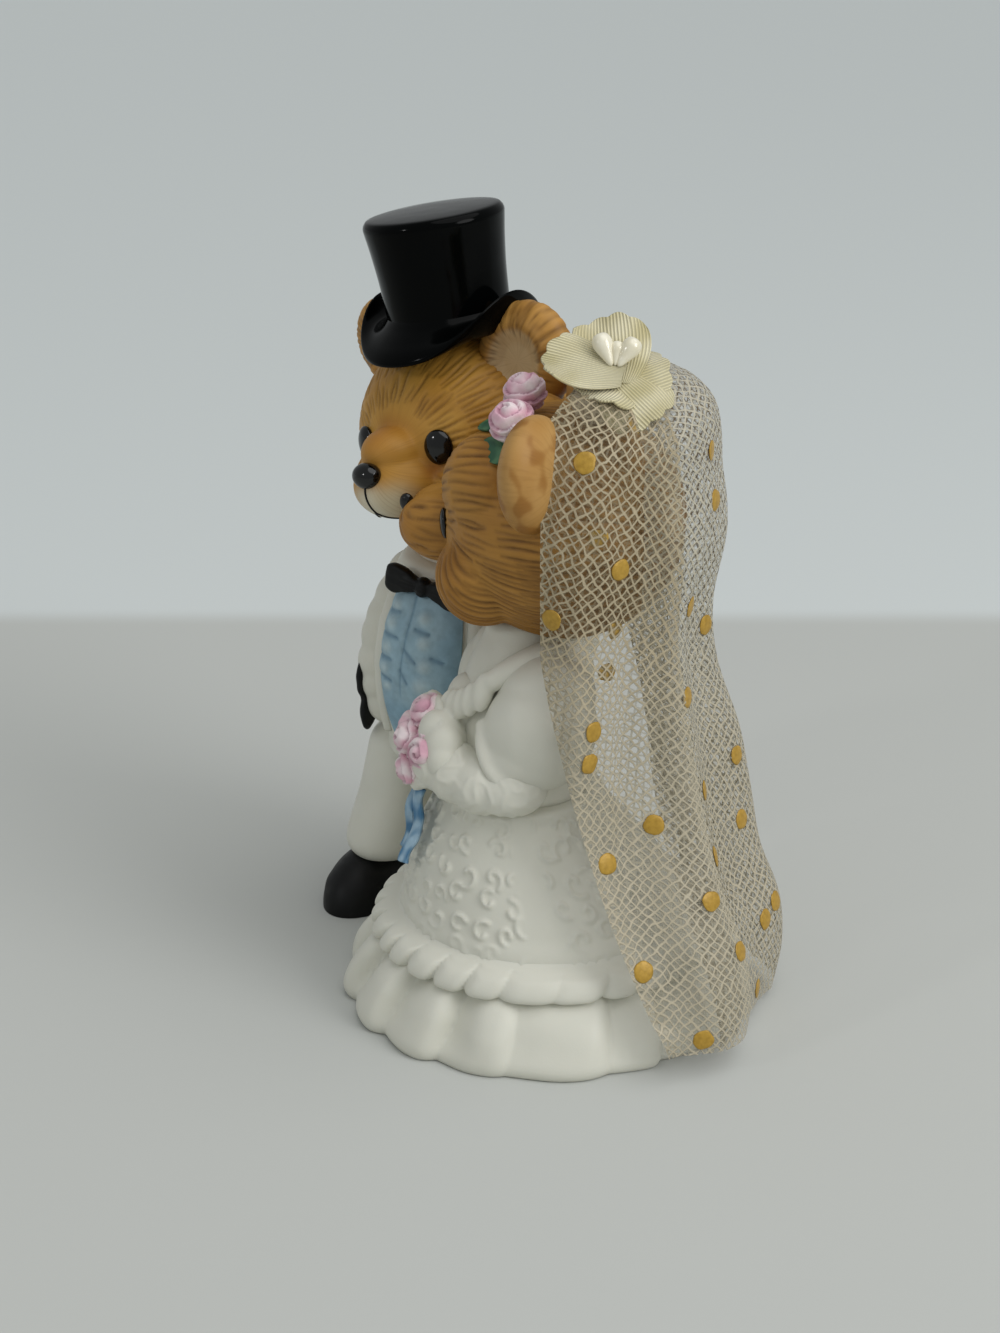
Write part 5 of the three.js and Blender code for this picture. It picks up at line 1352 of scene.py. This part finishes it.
def veilLine(v):
    place = min(max(v, 0), 1) * (len(veilShares) - 1)
    first = min(int(place), len(veilShares) - 2)
    rows = [veilShares[max(min(first + k, len(veilShares) - 1), 0)] for k in (-1, 0, 1, 2)]
    return [curved(a, b, c, d, place - first) for a, b, c, d in zip(*rows)]


def skirtClearance(z):
    share = smooth((z / gown["flounce"] - 0.55) / 0.75)
    above = 1 - smooth((z - gown["flounce"] - 4.4) / 4.4)
    radius = clearLook["flounce"] + (clearLook["frill"] - clearLook["flounce"]) * share
    return (radius + clearLook["gap"]) * above


def veilPoint(panel, u, v):
    sideReach, sideHigh, backReach, backHigh = veilLine(v)
    low = max(1 - sideHigh - 0.37, 0) / 0.63
    start = panel["from"][0] + (panel["from"][1] - panel["from"][0]) * low
    start -= panel["spread"] * smooth((sideHigh - 0.85) / 0.07)
    end = panel["to"][0] + (panel["to"][1] - panel["to"][0]) * low
    angle = math.radians(start + (end - start) * u)
    behind = smooth((angle - math.radians(15)) / math.radians(60))
    high = sideHigh + (backHigh - sideHigh) * behind
    loose = 0.1 + 0.9 * smooth((1 - high) * 1.5)
    wave = math.cos(angle * veilLook["folds"] + 0.8 + 1.4 * (1 - high))
    fold = veilLook["fold"] * loose * wave * smooth(v * 3)
    ripple = noise.noise(Vector((angle * 9, v * 5, panel["layers"] * 9)))
    fold += veilLook["ripple"] * smooth(v * 4) * ripple
    layer = panel["layers"] * veilLook["layer"]
    reach = veilLook["reach"] * (sideReach + (backReach - sideReach) * behind) + fold + layer
    shift = veilLook["reach"] * veilLook["top"] * smooth(high * 6 - 5)
    point = Vector((shift + math.cos(angle) * reach,
                    veilLook["aside"] + shift * 0.8 + math.sin(angle) * reach,
                    veilLook["high"] * high + layer * smooth(high * 7 - 5.8)))
    push = max((skirtClearance(point.z) + layer) / math.hypot(point.x, point.y), 1)
    return Vector((point.x * push, point.y * push, point.z))


def veilCloth(side, name, node):
    # a grid laid along the veil's lines, with its own lengths as the weave's coordinates
    panel = panels[side]
    columns, rows = panel["columns"], panel["rows"]
    bm = bmesh.new()
    cloth = bm.loops.layers.uv.new("cloth")
    bmesh.ops.create_grid(bm, x_segments=columns, y_segments=rows, size=0.5)
    grid = {}
    for v in bm.verts:
        i, j = round((v.co.x + 0.5) * columns), round((0.5 - v.co.y) * rows)
        v.co = veilPoint(panel, i / columns, j / rows)
        grid[i, j] = v
    flat = {}
    fallen = 0.0
    for j in range(rows + 1):
        if j:
            fallen += (grid[columns // 2, j].co - grid[columns // 2, j - 1].co).length
        line = [0.0]
        for i in range(columns):
            line.append(line[-1] + (grid[i + 1, j].co - grid[i, j].co).length)
        for i, along in enumerate(line):
            flat[grid[i, j]] = ((along - line[-1] / 2) * mm, fallen * mm)
    for face in bm.faces:
        for loop in face.loops:
            loop[cloth].uv = flat[loop.vert]
    bmesh.ops.recalc_face_normals(bm, faces=bm.faces)
    bm.verts.index_update()
    thick = [0.0] * len(bm.verts)
    pale = [0.0] * len(bm.verts)
    # dense: more of the darker under layer in stripes down the lower half, for net bunched in folds and
    # painted shade in them, and a denser hem along the near panel's left edge; pale: paler lower down the
    # near panel and on the far panel
    for (i, j), v in grid.items():
        down = j / rows
        bunch = 0.5 + 1.3 * noise.noise(Vector((i * 0.09, j * 0.014, 1)))
        foldBunchShade = smooth((down - 0.35) / 0.4) * smooth(bunch)
        if side == "front":
            edge = 1 - smooth((flat[v][0] - flat[grid[0, j]][0]) / (3.6 * mm))
            thick[v.index] = 0.5 * edge + 0.5 * foldBunchShade
            pale[v.index] = 0.05 + 0.3 * smooth((down - 0.42) / 0.2)
        else:
            thick[v.index] = 0.5 * foldBunchShade
            pale[v.index] = 0.6 - 0.25 * smooth((down - 0.4) / 0.3)
    veil = pieceOf(bm, name)
    pointData(veil, "FLOAT", dense=thick, pale=pale)
    finish(veil, brideFrame, "net", node)
    print(name, "area", round(sum(f.area for f in veil.data.polygons) * 1e6), "mm2, fall", round(fallen, 1))
    return veil


# foil dots, and smaller ones on the inner side of the near panel that show dimly through it
dotLook = {"radius": 1.62, "lift": 0.1, "thick": 0.22, "uneven": 0.14}
dimLook = {"radius": 1.4, "lift": -0.35, "thick": 0.15, "uneven": 0.25}
# where the camera sees each dot, across and down in its frame
dimDots = [(636, 424), (599, 539), (617, 631), (608, 673)]
nearDots = [(585, 463), (620, 570), (565, 388), (552, 620), (683, 672), (593, 732), (654, 825), (607, 864),
            (711, 901), (643, 972), (740, 951), (703, 1040), (589, 764)]
farDots = [(597, 540), (617, 630), (690, 607), (705, 625), (687, 697), (653, 888), (715, 856), (741, 819),
           (736, 755), (704, 791), (775, 901), (765, 919), (757, 988), (715, 500), (711, 450)]


def makeDots(veil, pixels, name, look):
    tree = surfaceTree(veil)
    bm = bmesh.new()
    for x, y in pixels:
        start, way = pixelRay(x, y)
        place, normal, _, _ = tree.ray_cast(start, way)
        if place is None:
            print("dot misses the net", name, x, y)
            continue
        if normal.dot(way) > 0:
            normal = -normal
        spot = Matrix.Translation(place + normal * look["lift"] * mm) @ faced(normal)
        made = bmesh.ops.create_uvsphere(bm, u_segments=32, v_segments=8, radius=1)
        for v in made["verts"]:
            uneven = noise.noise(Vector((v.co.x * 1.4, v.co.y * 1.4, x * 0.37)))
            grown = look["radius"] * (1 + look["uneven"] * uneven)
            v.co = spot @ (Vector((v.co.x * grown, v.co.y * grown, v.co.z * look["thick"])) * mm)
    dots = pieceOf(bm, name)
    finish(dots, Matrix.Identity(4), "dot")
    return dots


def makeVeil():
    middle = onBall(0, flowerLook["back"], brideHead["half"] + gatherLook["lift"])
    gather = clay("veilGather", [(tuple(middle), gatherLook["halves"])], 0.4, 2)
    paintPoints(gather, lambda p: linear(gatherLook["colour"]))
    finish(gather, brideHeadFrame, "satin", "veil_gather", slot="net")
    front = veilCloth("front", "veilFront", "veil_front_panel")
    back = veilCloth("back", "veilBack", "veil_back_panel")
    frontDots = makeDots(front, nearDots, "veilFrontDots", dotLook)
    shadedDots = makeDots(front, dimDots, "veilShadedDots", dimLook)
    backDots = makeDots(back, farDots, "veilBackDots", dotLook)


ribbonLook = {"top": 38.2, "fall": 11.9, "width": 3.0, "apart": 2.6, "front": 20.2, "lean": 2.9,
              "thick": 0.7, "pale": "#9DBACD", "deep": "#41759B"}


def makeRibbon():
    # two painted tails that hang side by side under the bouquet; one of them stands for the node
    for name, side, nodes in (("ribbonLeft", 1, ["bouquet_ribbon"]), ("ribbonRight", -1, [])):
        def hang(u, v):
            wide = ribbonLook["width"] * (0.75 + 0.3 * v) * (1 - 0.3 * math.sin(v * 9) ** 2)
            fold = 0.5 * math.cos((u - 0.5) * 5) + 0.55 * math.sin(v * 7 + side)
            return Vector((side * ribbonLook["apart"] * (0.62 + 0.35 * v) + (u - 0.5) * wide,
                           -ribbonLook["front"] - ribbonLook["lean"] * v - side * 0.3 * v - fold,
                           ribbonLook["top"] - ribbonLook["fall"] * v))

        def washed(p):
            pooled = 0.5 + 1.2 * noise.noise(Vector((p.x * 1.1, p.z * 0.45, side)))
            return mixed(linear(ribbonLook["pale"]), linear(ribbonLook["deep"]), smooth(pooled))

        tail = clothPiece(name, 18, 70, hang, ribbonLook["thick"])
        paintPoints(tail, washed)
        finish(tail, brideFrame, "blue", *nodes)


makeStage()
makeLamps()
makeGroomHead()
makeBrideHead()
for end in ("left", "right"):
    for owner in ("groom", "bride"):
        makeEar(owner, end)
makeFace("groom")
makeFace("bride")
print("heads made")
makeSkirt()
makeFlounce()
makeFrill()
makeBodice()
makeArms()
makeRuffle()
makeBouquet()
makeRibbon()
print("gown made")
makeCoat()
makeShirt()
makeTie()
makeSleevesAndPaws()
makeTrousers()
makeHat()
print("groom made")
makeHairFlowers()
makeFlower()
makeVeil()
print("veil made")
